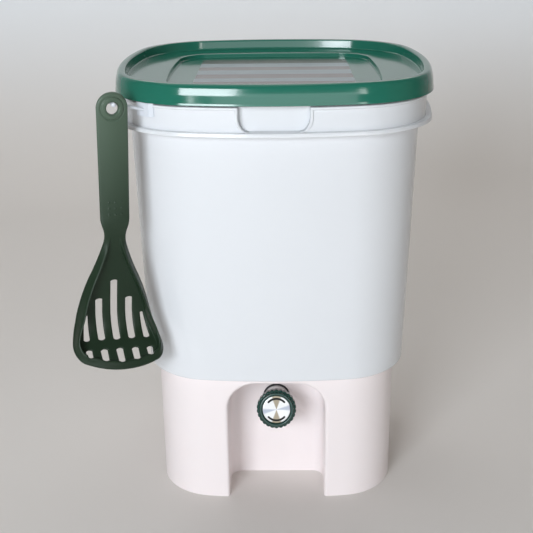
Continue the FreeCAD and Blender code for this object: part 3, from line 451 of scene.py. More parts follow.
def spun_metal():
    """Spun disc about the tap's axis: fine rings by radius r, wedges of painted reflection by the angle from
    upright and from a line turned up from level, and two dark arcs of radius R, which cover
    |(r - R, R max(angle from upright - half angle, 0))| < half width."""
    material, tree, surface = shader("disc_aluminium", Specular_IOR_Level=0.1)
    link = tree.links.new
    ahead = DISC_FRONT - TAP_SEAT
    middle_y = TAP_SEAT - TAP_REACH + ahead * math.cos(TAP_TILT)
    middle_z = TAP_Z - ahead * math.sin(TAP_TILT)
    mapping = add_node(tree, "ShaderNodeMapping", {"vector_type": "TEXTURE"},
                       Location=(0.0, middle_y * MM, middle_z * MM), Rotation=(-TAP_TILT, 0.0, 0.0))
    spot = place_xyz(tree, mapping)
    x, z = spot["X"], spot["Z"]
    radius = reach_of(tree, x, z)
    upright = angle_of(tree, x, z)
    cos, sin = math.cos(LEVEL_TURN), math.sin(LEVEL_TURN)
    along = calc(tree, "ADD", calc(tree, "MULTIPLY", x, cos), calc(tree, "MULTIPLY", z, sin))
    across = calc(tree, "SUBTRACT", calc(tree, "MULTIPLY", z, cos), calc(tree, "MULTIPLY", x, sin))
    level = angle_of(tree, across, along)
    past_end = calc(tree, "MAXIMUM", calc(tree, "SUBTRACT", upright, ARC_HALF_ANGLE), 0.0)
    beyond = calc(tree, "MULTIPLY", past_end, ARC_RADIUS * MM)
    away = reach_of(tree, calc(tree, "SUBTRACT", radius, ARC_RADIUS * MM), beyond)
    arc = fading(tree, away, (ARC_HALF_WIDTH - ARC_BLEND) * MM, (ARC_HALF_WIDTH + ARC_BLEND) * MM, 1.0, 0.0)
    rings = add_node(tree, "ShaderNodeTexNoise", {"noise_dimensions": "1D"}, Scale=4500.0, Detail=3.0)
    link(radius, rings.inputs["W"])
    ring = rings.outputs["Fac"]
    tone = add_node(tree, "ShaderNodeMix", {"data_type": "RGBA"}, A=(0.54, 0.54, 0.535, 1.0),
                    B=(0.68, 0.68, 0.68, 1.0))
    link(ring, tone.inputs["Factor"])
    # Wedges of painted reflection: the spun metal's sheen, painted into its colour by angle
    colour = painted_reflection_wedge(tree, tone.outputs["Result"], upright, *UPRIGHT_PAINTED_REFLECTION)
    colour = painted_reflection_wedge(tree, colour, level, *LEVEL_PAINTED_REFLECTION)
    link(blended(tree, arc, colour, (0.012, 0.012, 0.012)), surface.inputs["Base Color"])
    link(calc(tree, "SUBTRACT", 1.0, arc), surface.inputs["Metallic"])
    roughness = calc(tree, "MULTIPLY_ADD", ring, DISC_ROUGHNESS_SPREAD, DISC_ROUGHNESS)
    link(roughness, surface.inputs["Roughness"])
    bump = add_node(tree, "ShaderNodeBump", Strength=0.6, Distance=1.5e-5)
    link(ring, bump.inputs["Height"])
    link(bump.outputs["Normal"], surface.inputs["Normal"])
    return material


SKIN = moulded_skin()
BUCKET_PLASTIC = moulded("bucket_plastic", (0.792, 0.81, 0.838), (0.806, 0.823, 0.85), cloud_scale=9.0,
                         gloss=0.2, spread=0.1, grain_depth=8e-6, Subsurface_Weight=0.2,
                         Subsurface_Radius=(1.0, 1.0, 1.0), Subsurface_Scale=0.004)
BASE_PLASTIC = moulded("base_plastic", (0.945, 0.858, 0.856), (0.952, 0.87, 0.868), cloud_scale=7.0,
                       gloss=0.3, spread=0.1, Subsurface_Weight=0.15,
                       Subsurface_Radius=(1.0, 0.9, 0.85), Subsurface_Scale=0.003)
STRAINER_PLASTIC = moulded("strainer_plastic", (0.77, 0.81, 0.865), (0.8, 0.83, 0.88), cloud_scale=12.0,
                           gloss=0.38, spread=0.15)
LID_PLASTIC = moulded("lid_plastic", (0.015, 0.152, 0.102), (0.019, 0.168, 0.116), cloud_scale=14.0,
                      gloss=0.13, spread=0.07, grain_scale=1100.0, grain_depth=6e-6,
                      Specular_IOR_Level=0.52, Coat_Weight=0.2, Coat_Roughness=0.03)
# The scoop's green turns lighter towards its top, between 0.25 m and 0.41 m up: painted sheen on the upper
# handle
SCOOP_PLASTIC_PAINTED_SHEEN = tinted_by_height(
    moulded("scoop_plastic", (0.013, 0.028, 0.0145), (0.018, 0.037, 0.02), cloud_scale=26.0, gloss=0.36,
            spread=0.16, grain_scale=1500.0, grain_depth=2e-5, Specular_IOR_Level=0.3),
    (0.097, 0.145, 0.103), low=0.25, high=0.41)
KNOB_PLASTIC = moulded("knob_plastic", (0.006, 0.042, 0.032), (0.008, 0.053, 0.041), cloud_scale=40.0,
                       gloss=0.24, spread=0.12, grain_scale=1600.0, grain_depth=1.2e-5,
                       Coat_Weight=0.3, Coat_Roughness=0.1)
HOOK_PLASTIC = moulded("hook_plastic", (0.7, 0.74, 0.8), (0.74, 0.77, 0.82), cloud_scale=20.0, gloss=0.5,
                       spread=0.12)
TAP_PLASTIC = moulded("tap_plastic", (0.012, 0.012, 0.012), (0.02, 0.02, 0.02), cloud_scale=50.0, gloss=0.42,
                      spread=0.2, grain_scale=1800.0, grain_depth=3e-5)
VALVE_PLASTIC = moulded("valve_plastic", (0.6, 0.6, 0.57), (0.64, 0.64, 0.61), cloud_scale=40.0, gloss=0.4,
                        spread=0.15, grain_scale=1500.0)
SEAL_RUBBER = moulded("seal_rubber", (0.02, 0.02, 0.02), (0.032, 0.032, 0.032), cloud_scale=60.0, gloss=0.75,
                      spread=0.2, grain_scale=2200.0, grain_depth=4e-5)
LABEL_PRINT = printed_film()
SCREW_STEEL = turned_metal("screw_steel", (0.5, 0.5, 0.5), (0.56, 0.56, 0.56), gloss=0.3, spread=0.15)
BONNET_STEEL = turned_metal("bonnet_steel", (0.8, 0.8, 0.8), (0.86, 0.86, 0.86), gloss=0.2, spread=0.1)
TRIM_CHROME = turned_metal("trim_chrome", (0.88, 0.88, 0.87), (0.92, 0.92, 0.91), gloss=0.22, spread=0.1,
                           metallic=0.4)
DISC_ALUMINIUM = spun_metal()


# Base


def base_plan(z):
    """Plan of the base's outside at a height, straight from foot to top."""
    return FOOT_PLAN + np.asarray(z, float)[..., None] / BASE_TOP * (BASE_TOP_PLAN - FOOT_PLAN)


def front_y(x, z):
    """Depth of the base's bowed front: y = bow - half - sqrt(bow^2 - x^2)."""
    half, _, bow = np.moveaxis(base_plan(z), -1, 0)
    return bow - half - np.sqrt(bow ** 2 - x ** 2)


def build_base(per_step=22):
    """Skin in patches that share their edges: the wall from the front's right end round to its left end, the
    front between its border and the arch, a strip round the arch (rounded edge, side, fillet), the niche's
    back with a hole, and the rounded top with its rim. Along the arch at offset d:
    (mid + (r + d) cos a, spring + (r + d) sin a)."""
    shoulder = BASE_TOP - BASE_EDGE
    z = np.linspace(0.0, shoulder, 27)
    turn = 1.0 + np.arange(7 * per_step + 1) / per_step
    x, y = plan_xy(base_plan(z), turn)
    wall = np.stack([x, y, np.broadcast_to(z[:, None], x.shape)], axis=-1)
    end_x = plan_xy(base_plan(z), np.array([1.0]))[0][:, 0]
    top_x = plan_xy(base_plan(shoulder)[None], np.arange(1, per_step) / per_step)[0][0]
    border = np.stack([np.concatenate([-end_x, top_x, end_x[::-1]]),
                       np.concatenate([z, np.full(len(top_x), shoulder), z[::-1]])], axis=1)
    spring, mid, quarter = NICHE_TOP - NICHE_ARCH, NICHE_HALF - NICHE_ARCH, math.pi / 4
    up = quarter * np.clip((z - spring) / (shoulder - spring), 0.0, 1.0)
    over = quarter * (1.0 + np.clip((end_x[-1] - np.abs(top_x)) / (end_x[-1] - mid), 0.0, 1.0))
    angle = np.concatenate([up, over, up[::-1]])
    from_x = np.concatenate([np.full(len(z), mid), np.minimum(np.abs(top_x), mid), np.full(len(z), mid)])
    from_z = np.minimum(border[:, 1], spring)

    def arch(offset):
        """Line along the arch, this far outside it."""
        reach = NICHE_ARCH + offset
        arch_x = np.sign(border[:, 0]) * (from_x + reach * np.cos(angle))
        return np.stack([arch_x, from_z + reach * np.sin(angle)], axis=1)

    front = [(1.0 - t) * border + t * arch(NICHE_EDGE) for t in np.linspace(0.0, 1.0, 9)]
    rows = [np.stack([line[:, 0], front_y(*line.T), line[:, 1]], axis=1) for line in front]
    lip_y, fillet_y = rows[-1][:, 1], NICHE_BACK - NICHE_FILLET
    round_off = [(NICHE_EDGE * (1.0 - np.cos(b)), lip_y + NICHE_EDGE * (1.0 - np.sin(b)))
                 for b in np.linspace(math.pi / 2, 0.0, 8)[1:]]
    side = [(0.0, (1.0 - t) * (lip_y + NICHE_EDGE) + t * fillet_y) for t in np.linspace(0.0, 1.0, 8)[1:]]
    fillet = [(NICHE_FILLET * (np.cos(c) - 1.0), fillet_y + NICHE_FILLET * np.sin(c))
              for c in np.linspace(0.0, math.pi / 2, 9)[1:]]
    for offset, depth in round_off + side + fillet:
        line = arch(offset)
        rows.append(np.stack([line[:, 0], np.broadcast_to(depth, len(line)), line[:, 1]], axis=1))
    strip = np.stack(rows)
    foot = np.linspace(rows[-1][-1], rows[-1][0], 16)[1:-1]
    outer = np.vstack([rows[-1], foot])
    spin = np.arctan2(outer[:, 2] - TAP_Z, outer[:, 0])
    hole = np.stack([TAP_HOLE * np.cos(spin), outer[:, 1], TAP_Z + TAP_HOLE * np.sin(spin)], axis=1)
    back = np.stack([(1.0 - t) * outer + t * hole for t in np.linspace(0.0, 1.0, 10)])
    bend = np.linspace(0.0, math.pi / 2, 6)[:, None]
    edge_plans = base_plan(shoulder) - BASE_EDGE * (1.0 - np.cos(bend))
    edge = np.hstack([edge_plans, shoulder + BASE_EDGE * np.sin(bend)])
    rim = np.array([[*SUMP_MOUTH_PLAN, BASE_TOP]])
    top = swept(refined(np.vstack([edge, rim]), 4.0), per_step)
    patches = [(wall, False), (strip, False), (back, True), (top, True)]
    return walled([(grid.reshape(-1, 3), grid_faces(*grid.shape[:2], False, around))
                   for grid, around in patches])


def walled(patches):
    """Closed wall behind a skin: patches merged where they meet, turned outwards, then given a thickness."""
    starts = np.cumsum([0] + [len(points) for points, faces in patches])
    mesh = bpy.data.meshes.new("base_skin")
    mesh.from_pydata(np.vstack([points for points, faces in patches]).tolist(), [],
                     np.vstack([faces + start for (points, faces), start in zip(patches, starts)]).tolist())
    skin = bmesh.new()
    skin.from_mesh(mesh)
    bmesh.ops.remove_doubles(skin, verts=skin.verts, dist=MERGE_DISTANCE)
    bmesh.ops.recalc_face_normals(skin, faces=skin.faces)
    rearmost = max(skin.faces, key=lambda face: face.calc_center_median().y)
    if rearmost.normal.y < 0.0:
        bmesh.ops.reverse_faces(skin, faces=skin.faces)
    bmesh.ops.solidify(skin, geom=skin.faces[:], thickness=BASE_WALL)
    skin.to_mesh(mesh)
    points = np.empty(3 * len(mesh.vertices))
    mesh.vertices.foreach_get("co", points)
    faces = [list(face.vertices) for face in mesh.polygons]
    skin.free()
    bpy.data.meshes.remove(mesh)
    return points.reshape(-1, 3), faces


def build_sump_floor():
    """Flat plate inside the base, let into its wall and round the niche: columns across, each from front to
    back, at places that follow the plan from the right side's middle to the back's."""
    plan = base_plan(SUMP_FLOOR_TOP)[None] - BASE_WALL / 2
    outline_x, outline_y = (line[0] for line in plan_xy(plan, np.linspace(2.6, 4.5, 120)))
    niche_x = NICHE_HALF + BASE_WALL / 2
    beside = niche_x + SUMP_BESIDE_NICHE
    beyond = outline_x[outline_x > niche_x + SUMP_BEYOND_NICHE][::-1]
    right = np.concatenate([[0.0, niche_x / 2, niche_x, beside], beyond])
    x = np.concatenate([-right[:0:-1], right])
    back = np.interp(np.abs(x), outline_x[::-1], outline_y[::-1])
    front = np.where(np.abs(x) >= beside, -back, NICHE_BACK + BASE_WALL / 2)
    columns = len(x)
    low, high = np.full(columns, SUMP_FLOOR_TOP - BASE_WALL), np.full(columns, SUMP_FLOOR_TOP)
    rows = [(x, front, low), (x, back, low), (x, back, high), (x, front, high)]
    points = np.vstack([np.stack(row, axis=1) for row in rows])
    ends = np.arange(4) * columns
    faces = grid_faces(4, columns, True, False)[:, ::-1].tolist()
    return points, faces + [ends[::-1].tolist(), (ends + columns - 1).tolist()]


for name, (points, faces) in {"base_shell": build_base(), "sump_floor": build_sump_floor()}.items():
    piece = add_piece(name, points, faces, "bin", "base_plastic", BASE_PLASTIC, ["base"])
    piece.data.set_sharp_from_angle(angle=CREASE)


# Bucket


def wall_plan(z):
    """Plan of the bucket's outside, straight from the step to the flange and upright above it."""
    share = np.clip((z - STEP_Z) / (FLANGE_Z - STEP_Z), 0.0, 1.0)
    return STEP_PLAN + share * (COLLAR_PLAN - STEP_PLAN)


def build_bucket():
    """Closed profile round the wall, flange, rim, ledge and drip lip, swept round the changing plan."""
    lip_in = DRIP_LIP_PLAN - DRIP_LIP
    flange, rim = COLLAR_PLAN + FLANGE_REACH, COLLAR_PLAN + RIM_REACH
    corners = [
        (STEP_PLAN - WALL, LEDGE_LOW, 0.3), (STEP_PLAN - WALL, STEP_Z, 0.4), (STEP_PLAN, STEP_Z, 2.0),
        (COLLAR_PLAN, FLANGE_Z, 1.6), (flange, FLANGE_Z, 0.5), (flange - FLANGE_LEAN, FLANGE_TOP, 0.5),
        (COLLAR_PLAN, FLANGE_TOP, 0.7), (COLLAR_PLAN, RIM_LOW, 0.5), (rim, RIM_LOW, 0.8), (rim, RIM_TOP, 0.8),
        (COLLAR_PLAN - WALL, RIM_TOP, 0.8), (COLLAR_PLAN - WALL, FLANGE_Z, 0.5),
        (wall_plan(LEDGE_TOP) - WALL, LEDGE_TOP, 2.0), (lip_in, LEDGE_TOP, 0.8), (lip_in, DRIP_LIP_LOW, 0.8),
        (DRIP_LIP_PLAN, DRIP_LIP_LOW, 0.8), (DRIP_LIP_PLAN, LEDGE_LOW, 0.4)]
    rows = rounded(corners, True)
    points = swept(refined(rows, 16.0))
    faces = grid_faces(*points.shape[:2], True).tolist()
    return points.reshape(-1, 3), faces


def window_half(z):
    """Half width of a finger window: upright sides above, a quarter ellipse towards its foot."""
    t = np.clip((z - FLANGE_TOP) / (WINDOW_CURVE_Z - FLANGE_TOP), 0.0, 1.0)
    return WINDOW_FOOT_HALF + (WINDOW_TOP_HALF - WINDOW_FOOT_HALF) * np.sqrt(1.0 - (1.0 - t) ** 2)


def build_band(corner):
    """Collar band round one corner, from window to window. Its outer reach is a plain band that rises to a
    frame along the windows and to a bead along the top, less a rounding along its edges:
    reach = band + (bead - band) max(frame, bead top) - drop (1 - gap / round)^2."""
    below_bead = np.linspace(FLANGE_TOP, BEAD_LOW - 2.0 * FRAME_BLEND, 22)
    z = np.concatenate([[FLANGE_TOP - BAND_SINK], below_bead, BEAD_LOW + BEAD_ROWS])[:, None]
    bow = COLLAR_PLAN[2]
    side_turn = corner_place(*COLLAR_PLAN)[2]
    per_mm = 1.0 / (2.0 * side_turn * bow)
    start = 2 * corner + 0.5 + np.arcsin(window_half(z) / bow) / (2.0 * side_turn)
    stop = 4 * corner + 3 - start
    near, far = FRAME_COLUMNS, FRAME_COLUMNS[-1]
    middle = np.linspace(0.0, 1.0, 60)[1:-1]
    first, last = start + far * per_mm, stop - far * per_mm
    turn = np.concatenate([start + near * per_mm, first + (last - first) * middle,
                           stop - near[::-1] * per_mm], axis=1)
    from_end = np.concatenate([near, np.full(len(middle), far), near[::-1]])[None, :]
    frame_rise = 1.0 - smoothstep(FRAME_WIDTH - FRAME_BLEND, FRAME_WIDTH + FRAME_BLEND, from_end)
    bead_rise = smoothstep(BEAD_LOW - FRAME_BLEND, BEAD_LOW + FRAME_BLEND, z)
    edge = sum(BAND_ROUND_DROP * np.clip(1.0 - gap / BAND_ROUND, 0.0, 1.0) ** 2
               for gap in (from_end, BEAD_TOP - z))
    reach = BAND_REACH + (BEAD_REACH - BAND_REACH) * np.maximum(frame_rise, bead_rise) - edge
    height = np.broadcast_to(z, turn.shape)
    outer = np.stack([*band_xy(turn, reach), height], axis=-1)
    inner = np.stack([*band_xy(turn, np.full(turn.shape, -BAND_LET_IN)), height], axis=-1)
    points = np.concatenate([outer, inner[:, ::-1]], axis=1)
    rows, columns = points.shape[:2]
    c = np.arange(columns // 2 - 1)
    foot = np.stack([c, columns - 1 - c, columns - 2 - c, c + 1], axis=1)
    top = foot[:, ::-1] + (rows - 1) * columns
    return points.reshape(-1, 3), grid_faces(rows, columns, False).tolist() + foot.tolist() + top.tolist()


def band_xy(turn, reach):
    """Points at a reach outside the collar's plan, one plan per point."""
    plans = COLLAR_PLAN + reach[..., None]
    x, y = plan_xy(plans, turn[..., None])
    return x[..., 0], y[..., 0]


add_piece("bucket_shell", *build_bucket(), "bin", "bucket_plastic", BUCKET_PLASTIC, ["bucket"])
for corner in range(4):
    name = "collar_band_%d" % corner
    add_piece(name, *build_band(corner), "bin", "bucket_plastic", BUCKET_PLASTIC, ["bucket"])


# Lid


def build_lid():
    """Profile from the middle of the underside, round the plug, rim and well, to the middle of the panel."""
    under = PANEL_PLAN + LID_SKIN
    under_panel, under_floor = LID_PANEL - LID_SKIN, LID_FLOOR - LID_SKIN
    corners = [
        (under * MIDDLE_SHARE, under_panel, 0), (under, under_panel, 0.7), (under, under_floor, 0.6),
        (PLUG_INSIDE_PLAN, under_floor, 0.7), (PLUG_INSIDE_PLAN, LID_LIP, 0.6), (PLUG_PLAN, LID_LIP, 0.6),
        (PLUG_PLAN, GASKET_TOP, 0.4), (SEAT_PLAN, GASKET_TOP, 0.4), (SEAT_PLAN, RIM_HOLLOW_TOP, 0.5),
        *((LID_PLAN - inset, z, rounding) for inset, z, rounding in RIM_HOLLOW + LID_SIDE),
        (WELL_PLAN, LID_TOP, 1.5), (WELL_PLAN - WELL_DRAFT, LID_FLOOR, 1.2), (PANEL_PLAN, LID_FLOOR, 0.8),
        (PANEL_PLAN, LID_PANEL, 0.7), (PANEL_PLAN * MIDDLE_SHARE, LID_PANEL, 0)]
    return with_poles(swept(refined(rounded(corners, False), 14.0)))


def build_label():
    """Thin film with round corners: corner centre + r (cos a, sin a), below and above, both faces closed."""
    corner = np.repeat(np.array([[1, 1], [-1, 1], [-1, -1], [1, -1]]), 9, axis=0)
    angle = np.add.outer(np.arange(4), np.linspace(0.0, 1.0, 9)).ravel() * math.pi / 2
    centre = corner * (LABEL_HALF_WIDTH - LABEL_CORNER, LABEL_HALF_DEPTH - LABEL_CORNER)
    loop = centre + LABEL_CORNER * np.stack([np.cos(angle), np.sin(angle)], axis=1)
    rows = [np.hstack([loop, np.full((len(loop), 1), LID_PANEL + rise)]) for rise in (0.0, LABEL_FILM)]
    return with_poles(np.stack(rows))


add_piece("lid_shell", *build_lid(), "lid_set", "lid_plastic", LID_PLASTIC, ["lid"])
label = add_piece("lid_film", *build_label(), "lid_set", "label_film", LABEL_PRINT, ["lid_label"])
label.data.set_sharp_from_angle(angle=CREASE)


# Tap


def flute_change(rows, angle):
    """Grooves on the knob's rim: -depth exp(-(s / width)^2), where s is the way along the rim to a groove."""
    pitch = 2.0 * math.pi / FLUTES
    s = ((angle + pitch / 2) % pitch - pitch / 2) * KNOB_RADIUS
    on_rim = smoothstep(KNOB_RADIUS - FLUTE_FADE[0], KNOB_RADIUS - FLUTE_FADE[1], rows[:, :1])
    return -FLUTE_DEPTH * on_rim * np.exp(-(s[None, :] / FLUTE_WIDTH) ** 2)


def build_knob():
    """Fluted wheel with a smaller ring in front, a recess for the disc and a bore for the stem and screw."""
    pocket = DISC_RADIUS + DISC_GAP
    ring_foot = KNOB_RING_RADIUS + RING_FOOT_REACH
    corners = [
        (STEM_BORE, KNOB_REAR, 0.4), (KNOB_RADIUS, KNOB_REAR, 1.5), (KNOB_RADIUS, KNOB_SHOULDER, 1.3),
        (ring_foot, KNOB_SHOULDER - RING_FOOT_RISE, 0.5), (KNOB_RING_RADIUS, KNOB_FRONT, 0.9),
        (KNOB_LIP_RADIUS, KNOB_FRONT, 0.4), (pocket, DISC_FRONT, 0.2), (pocket, DISC_BACK, 0.2),
        (SCREW_HEAD_BORE, DISC_BACK, 0.2), (SCREW_HEAD_BORE, SCREW_HEAD_END, 0.2),
        (SCREW_BORE, SCREW_HEAD_END, 0.1), (SCREW_BORE, STEM_BORE_END, 0.1), (STEM_BORE, STEM_BORE_END, 0.2)]
    points = spun(corners, True, 1.5, FLUTES * 12, flute_change)
    return points.reshape(-1, 3), grid_faces(*points.shape[:2], True).tolist()


def build_disc():
    """Thin spun disc with a rounded edge and a face that dips a little towards its middle."""
    corners = [(DISC_MIDDLE, DISC_BACK, 0.0), (DISC_RADIUS, DISC_BACK, 0.1), (DISC_RADIUS, DISC_FRONT, 0.35),
               (DISC_RADIUS - DISC_BORDER, DISC_FRONT, 0.5), (DISC_MIDDLE, DISC_FRONT + DISC_DIP, 0.0)]
    return with_poles(spun(corners, False, 0.8, 144))


add_piece("knob_wheel", *build_knob(), "tap", "knob_plastic", KNOB_PLASTIC, ["knob"])
add_piece("knob_disc", *build_disc(), "tap", "disc_aluminium", DISC_ALUMINIUM, ["knob_face_disc"])


# Scoop


def arc_points(a, b, c, count):
    """Points along the circle through a, b and c, from a to c."""
    a, b, c = (complex(*p) for p in (a, b, c))
    w = (c - a) / (b - a)
    centre = (b - a) * (w - abs(w) ** 2) / (2j * w.imag) + a
    turn = np.angle((c - centre) / (a - centre))
    half_way = np.angle((b - centre) / (a - centre))
    turn += 2.0 * math.pi * np.sign(half_way) * (turn * half_way < 0 or abs(turn) < abs(half_way))
    spots = centre + (a - centre) * np.exp(1j * turn * np.linspace(0.0, 1.0, count))
    return np.stack([spots.real, spots.imag], axis=1)


def even_loop(points, spacing):
    """Closed loop of points at an even spacing along the given closed line."""
    line = np.vstack([points, points[:1]])
    way = np.concatenate([[0.0], np.cumsum(np.hypot(*np.diff(line, axis=0).T))])
    count = int(round(way[-1] / spacing))
    spots = np.arange(count) * way[-1] / count
    return np.stack([np.interp(spots, way, column) for column in line.T], axis=1)


def scoop_outline():
    """Front view of the scoop: round top, straight handle, waist, blade and tip; one side mirrored."""
    foot = np.array(HANDLE_FOOT)
    turn = math.acos(HANDLE_TOP_RADIUS / np.hypot(*foot)) - math.atan2(-foot[1], foot[0])
    shoulder = HANDLE_TOP_RADIUS * np.array([math.cos(turn), math.sin(turn)])
    top, half_way = (0.0, HANDLE_TOP_RADIUS), HANDLE_TOP_RADIUS * np.array([1, 1]) / math.sqrt(2)
    line = [arc_points(top, half_way, shoulder, 24), [foot]]
    start = foot
    for through, end in SCOOP_SIDE:
        line.append(arc_points(start, through, end, 40)[1:])
        start = end
    right = np.vstack(line)
    above_tip = right[:, 1] > SCOOP_SIDE[-1][1][1] + MERGE_DISTANCE
    left = right[above_tip][::-1] * (-1, 1)
    return even_loop(slanted(np.vstack([right, left[:-1]])), OUTLINE_SPACING)


def slanted(points):
    """Points of the blade lowered towards the right: z - slant x, faded in below the handle."""
    x, z = points.T
    on_blade = smoothstep(HANDLE_FOOT[1], HANDLE_FOOT[1] - SLANT_FADE, z)
    return np.stack([x, z - BLADE_SLANT * x * on_blade], axis=1)


def slot_loops():
    """Slots with round ends, on both sides of the middle."""
    loops = []
    for (x, width), (low_x, low_width), top, foot in SLOTS:
        a, b = width / 2, low_width / 2
        upper = arc_points((x - a, top), (x, top + SLOT_END_ROUND * a), (x + a, top), 12)
        lower = arc_points((low_x + b, foot), (low_x, foot - SLOT_END_ROUND * b), (low_x - b, foot), 12)
        loop = even_loop(np.vstack([upper, lower]), SLOT_SPACING)
        for side in ([1] if x == 0 else [1, -1]):
            loops.append(loop * (side, 1) - (0.0, BLADE_SLANT * side * x))
    return loops


def line_y(points, z, softness):
    """Depth of a side-view line made of two arcs and straight ends, softened over a length."""
    rest = np.array(points[5:]).reshape(-1, 2)
    line = np.vstack([arc_points(*points[:3], 30), arc_points(*points[2:5], 30)[1:], rest])
    grid = np.arange(-240.0, 30.0, SIDE_VIEW_STEP)
    values = np.interp(grid, line[::-1, 1], line[::-1, 0])
    width = int(softness / SIDE_VIEW_STEP)
    padded = np.pad(values, width, mode="edge")
    kernel = np.hanning(2 * width + 1)
    return np.interp(z, grid, np.convolve(padded, kernel / kernel.sum(), mode="valid"))


def edge_distance(points, loops):
    """Distance of each point to the nearest stretch of any loop."""
    ends = np.vstack([np.stack([loop, np.roll(loop, -1, axis=0)], axis=1) for loop in loops])
    a, b = ends[:, 0], ends[:, 1]
    way = b - a
    share = ((points[:, None] - a) * way).sum(-1) / (way ** 2).sum(-1)
    near = a + np.clip(share, 0.0, 1.0)[..., None] * way
    return np.sqrt(((points[:, None] - near) ** 2).sum(-1)).min(1)


def inside(points, loop):
    """Whether each point lies in a loop: an odd number of the loop's edges is to its right."""
    a, b = loop, np.roll(loop, -1, axis=0)
    x, z = points[:, :1], points[:, 1:]
    spans = (a[:, 1] > z) != (b[:, 1] > z)
    rise = np.where(b[:, 1] == a[:, 1], 1.0, b[:, 1] - a[:, 1])
    cross = a[:, 0] + (z - a[:, 1]) * (b[:, 0] - a[:, 0]) / rise
    return (spans & (x < cross)).sum(1) % 2 == 1


def in_sheet(points, loops):
    """Whether each point lies in the first loop and in none of the others."""
    return inside(points, loops[0]) & ~np.any([inside(points, loop) for loop in loops[1:]], axis=0)


def inset_loops(loop, distances, sign):
    """Copies of a loop moved sideways by each distance."""
    along = np.roll(loop, -1, axis=0) - np.roll(loop, 1, axis=0)
    normal = np.stack([-along[:, 1], along[:, 0]], axis=1) / np.hypot(*along.T)[:, None]
    return np.vstack([loop + sign * d * normal for d in distances])


def turning(loop):
    """+1 for a loop that runs anticlockwise, -1 for clockwise."""
    after = np.roll(loop, -1, axis=0)
    return np.sign((loop[:, 0] * after[:, 1] - after[:, 0] * loop[:, 1]).sum())


def scoop_middle(z):
    """Depth of the scoop's middle sheet: flat in the handle, dished in the blade."""
    return line_y(BLADE_LINE, z, BLADE_SOFTNESS) * smoothstep(*BLADE_FADE, z)


def eye_rise(points):
    """Raised ring round the hanging hole with a groove outside it: -depth exp(-((r - R) / width)^2)."""
    radius = np.hypot(*points.T)
    ring = EYE * (1.0 - smoothstep(EYE_RADIUS - EYE_BLEND[0], EYE_RADIUS + EYE_BLEND[1], radius))
    from_groove = radius - EYE_RADIUS - EYE_GROOVE_WIDTH
    return ring - EYE_GROOVE * np.exp(-(from_groove / EYE_GROOVE_WIDTH) ** 2)


def dot_rise(points, dots):
    """Small round dots on the handle, smooth from their tops to their feet."""
    away = np.sqrt(((points[:, None] - dots) ** 2).sum(-1)).min(1)
    return DOT_HEIGHT * (1.0 - smoothstep(DOT_BLEND, DOT_RADIUS + DOT_BLEND, away))


def rim_rise(points, outline):
    """Ridge along the blade's edge: up a slope from the outline to the rim's line, down a steep wall."""
    z = points[:, 1]
    away = edge_distance(points, [outline])
    crest = np.maximum(scoop_middle(z) - BLADE_HALF - line_y(RIM_FRONT, z, RIM_SOFTNESS), 0.0)
    ridge = crest * smoothstep(*RIM_SLOPE, away) * (1.0 - smoothstep(*RIM_WALL, away))
    return ridge * smoothstep(*RIM_FADE, z)


def scoop_spots(loops, circle, dots):
    """Points in the sheet: rows beside each edge, rings round the eye and the dots, and an even fill."""
    outline, slots = loops[0], loops[2:]
    x, z = np.meshgrid(np.arange(*FILL_X, FILL_SPACING), np.arange(*FILL_Z, FILL_SPACING))
    fill = np.stack([x.ravel(), z.ravel()], axis=1)
    clear = edge_distance(fill, [outline]) > CLEAR_OF_OUTLINE
    clear &= edge_distance(fill, loops[1:]) > CLEAR_OF_HOLES
    clear &= np.hypot(*fill.T) > CLEAR_OF_EYE
    spots = np.vstack([
        inset_loops(outline, OUTLINE_ROWS, turning(outline)),
        *(radius * circle for radius in EYE_RINGS),
        dots,
        *((dots[:, None] + radius * circle[::4]).reshape(-1, 2) for radius in DOT_RINGS),
        *(inset_loops(slot, SLOT_ROWS, -turning(slot)) for slot in slots),
        fill[clear]])
    return spots[in_sheet(spots, loops) & (edge_distance(spots, loops) > CLEAR_OF_EDGES)]


def scoop_triangles(loops, spots):
    """Flat points and the triangles between them, which keep to the loops and run anticlockwise."""
    starts = np.cumsum([0] + [len(loop) for loop in loops])
    rings = [start + np.arange(len(loop)) for start, loop in zip(starts, loops)]
    edges = np.vstack([np.stack([ring, np.roll(ring, -1)], axis=1) for ring in rings]).tolist()
    given = [Vector(place) for place in np.vstack(loops + [spots]).tolist()]
    verts, _, triangles, _, _, _ = delaunay_2d_cdt(given, edges, [], 0, 1e-5)
    flat = np.array([tuple(v) for v in verts])
    triangles = np.array([list(t) for t in triangles if len(t) == 3])
    triangles = triangles[in_sheet(flat[triangles].mean(1), loops)]
    across = flat[triangles[:, 1]] - flat[triangles[:, 0]]
    beyond = flat[triangles[:, 2]] - flat[triangles[:, 0]]
    flip = across[:, 0] * beyond[:, 1] - across[:, 1] * beyond[:, 0] < 0
    triangles[flip] = triangles[flip][:, ::-1]
    return flat, triangles


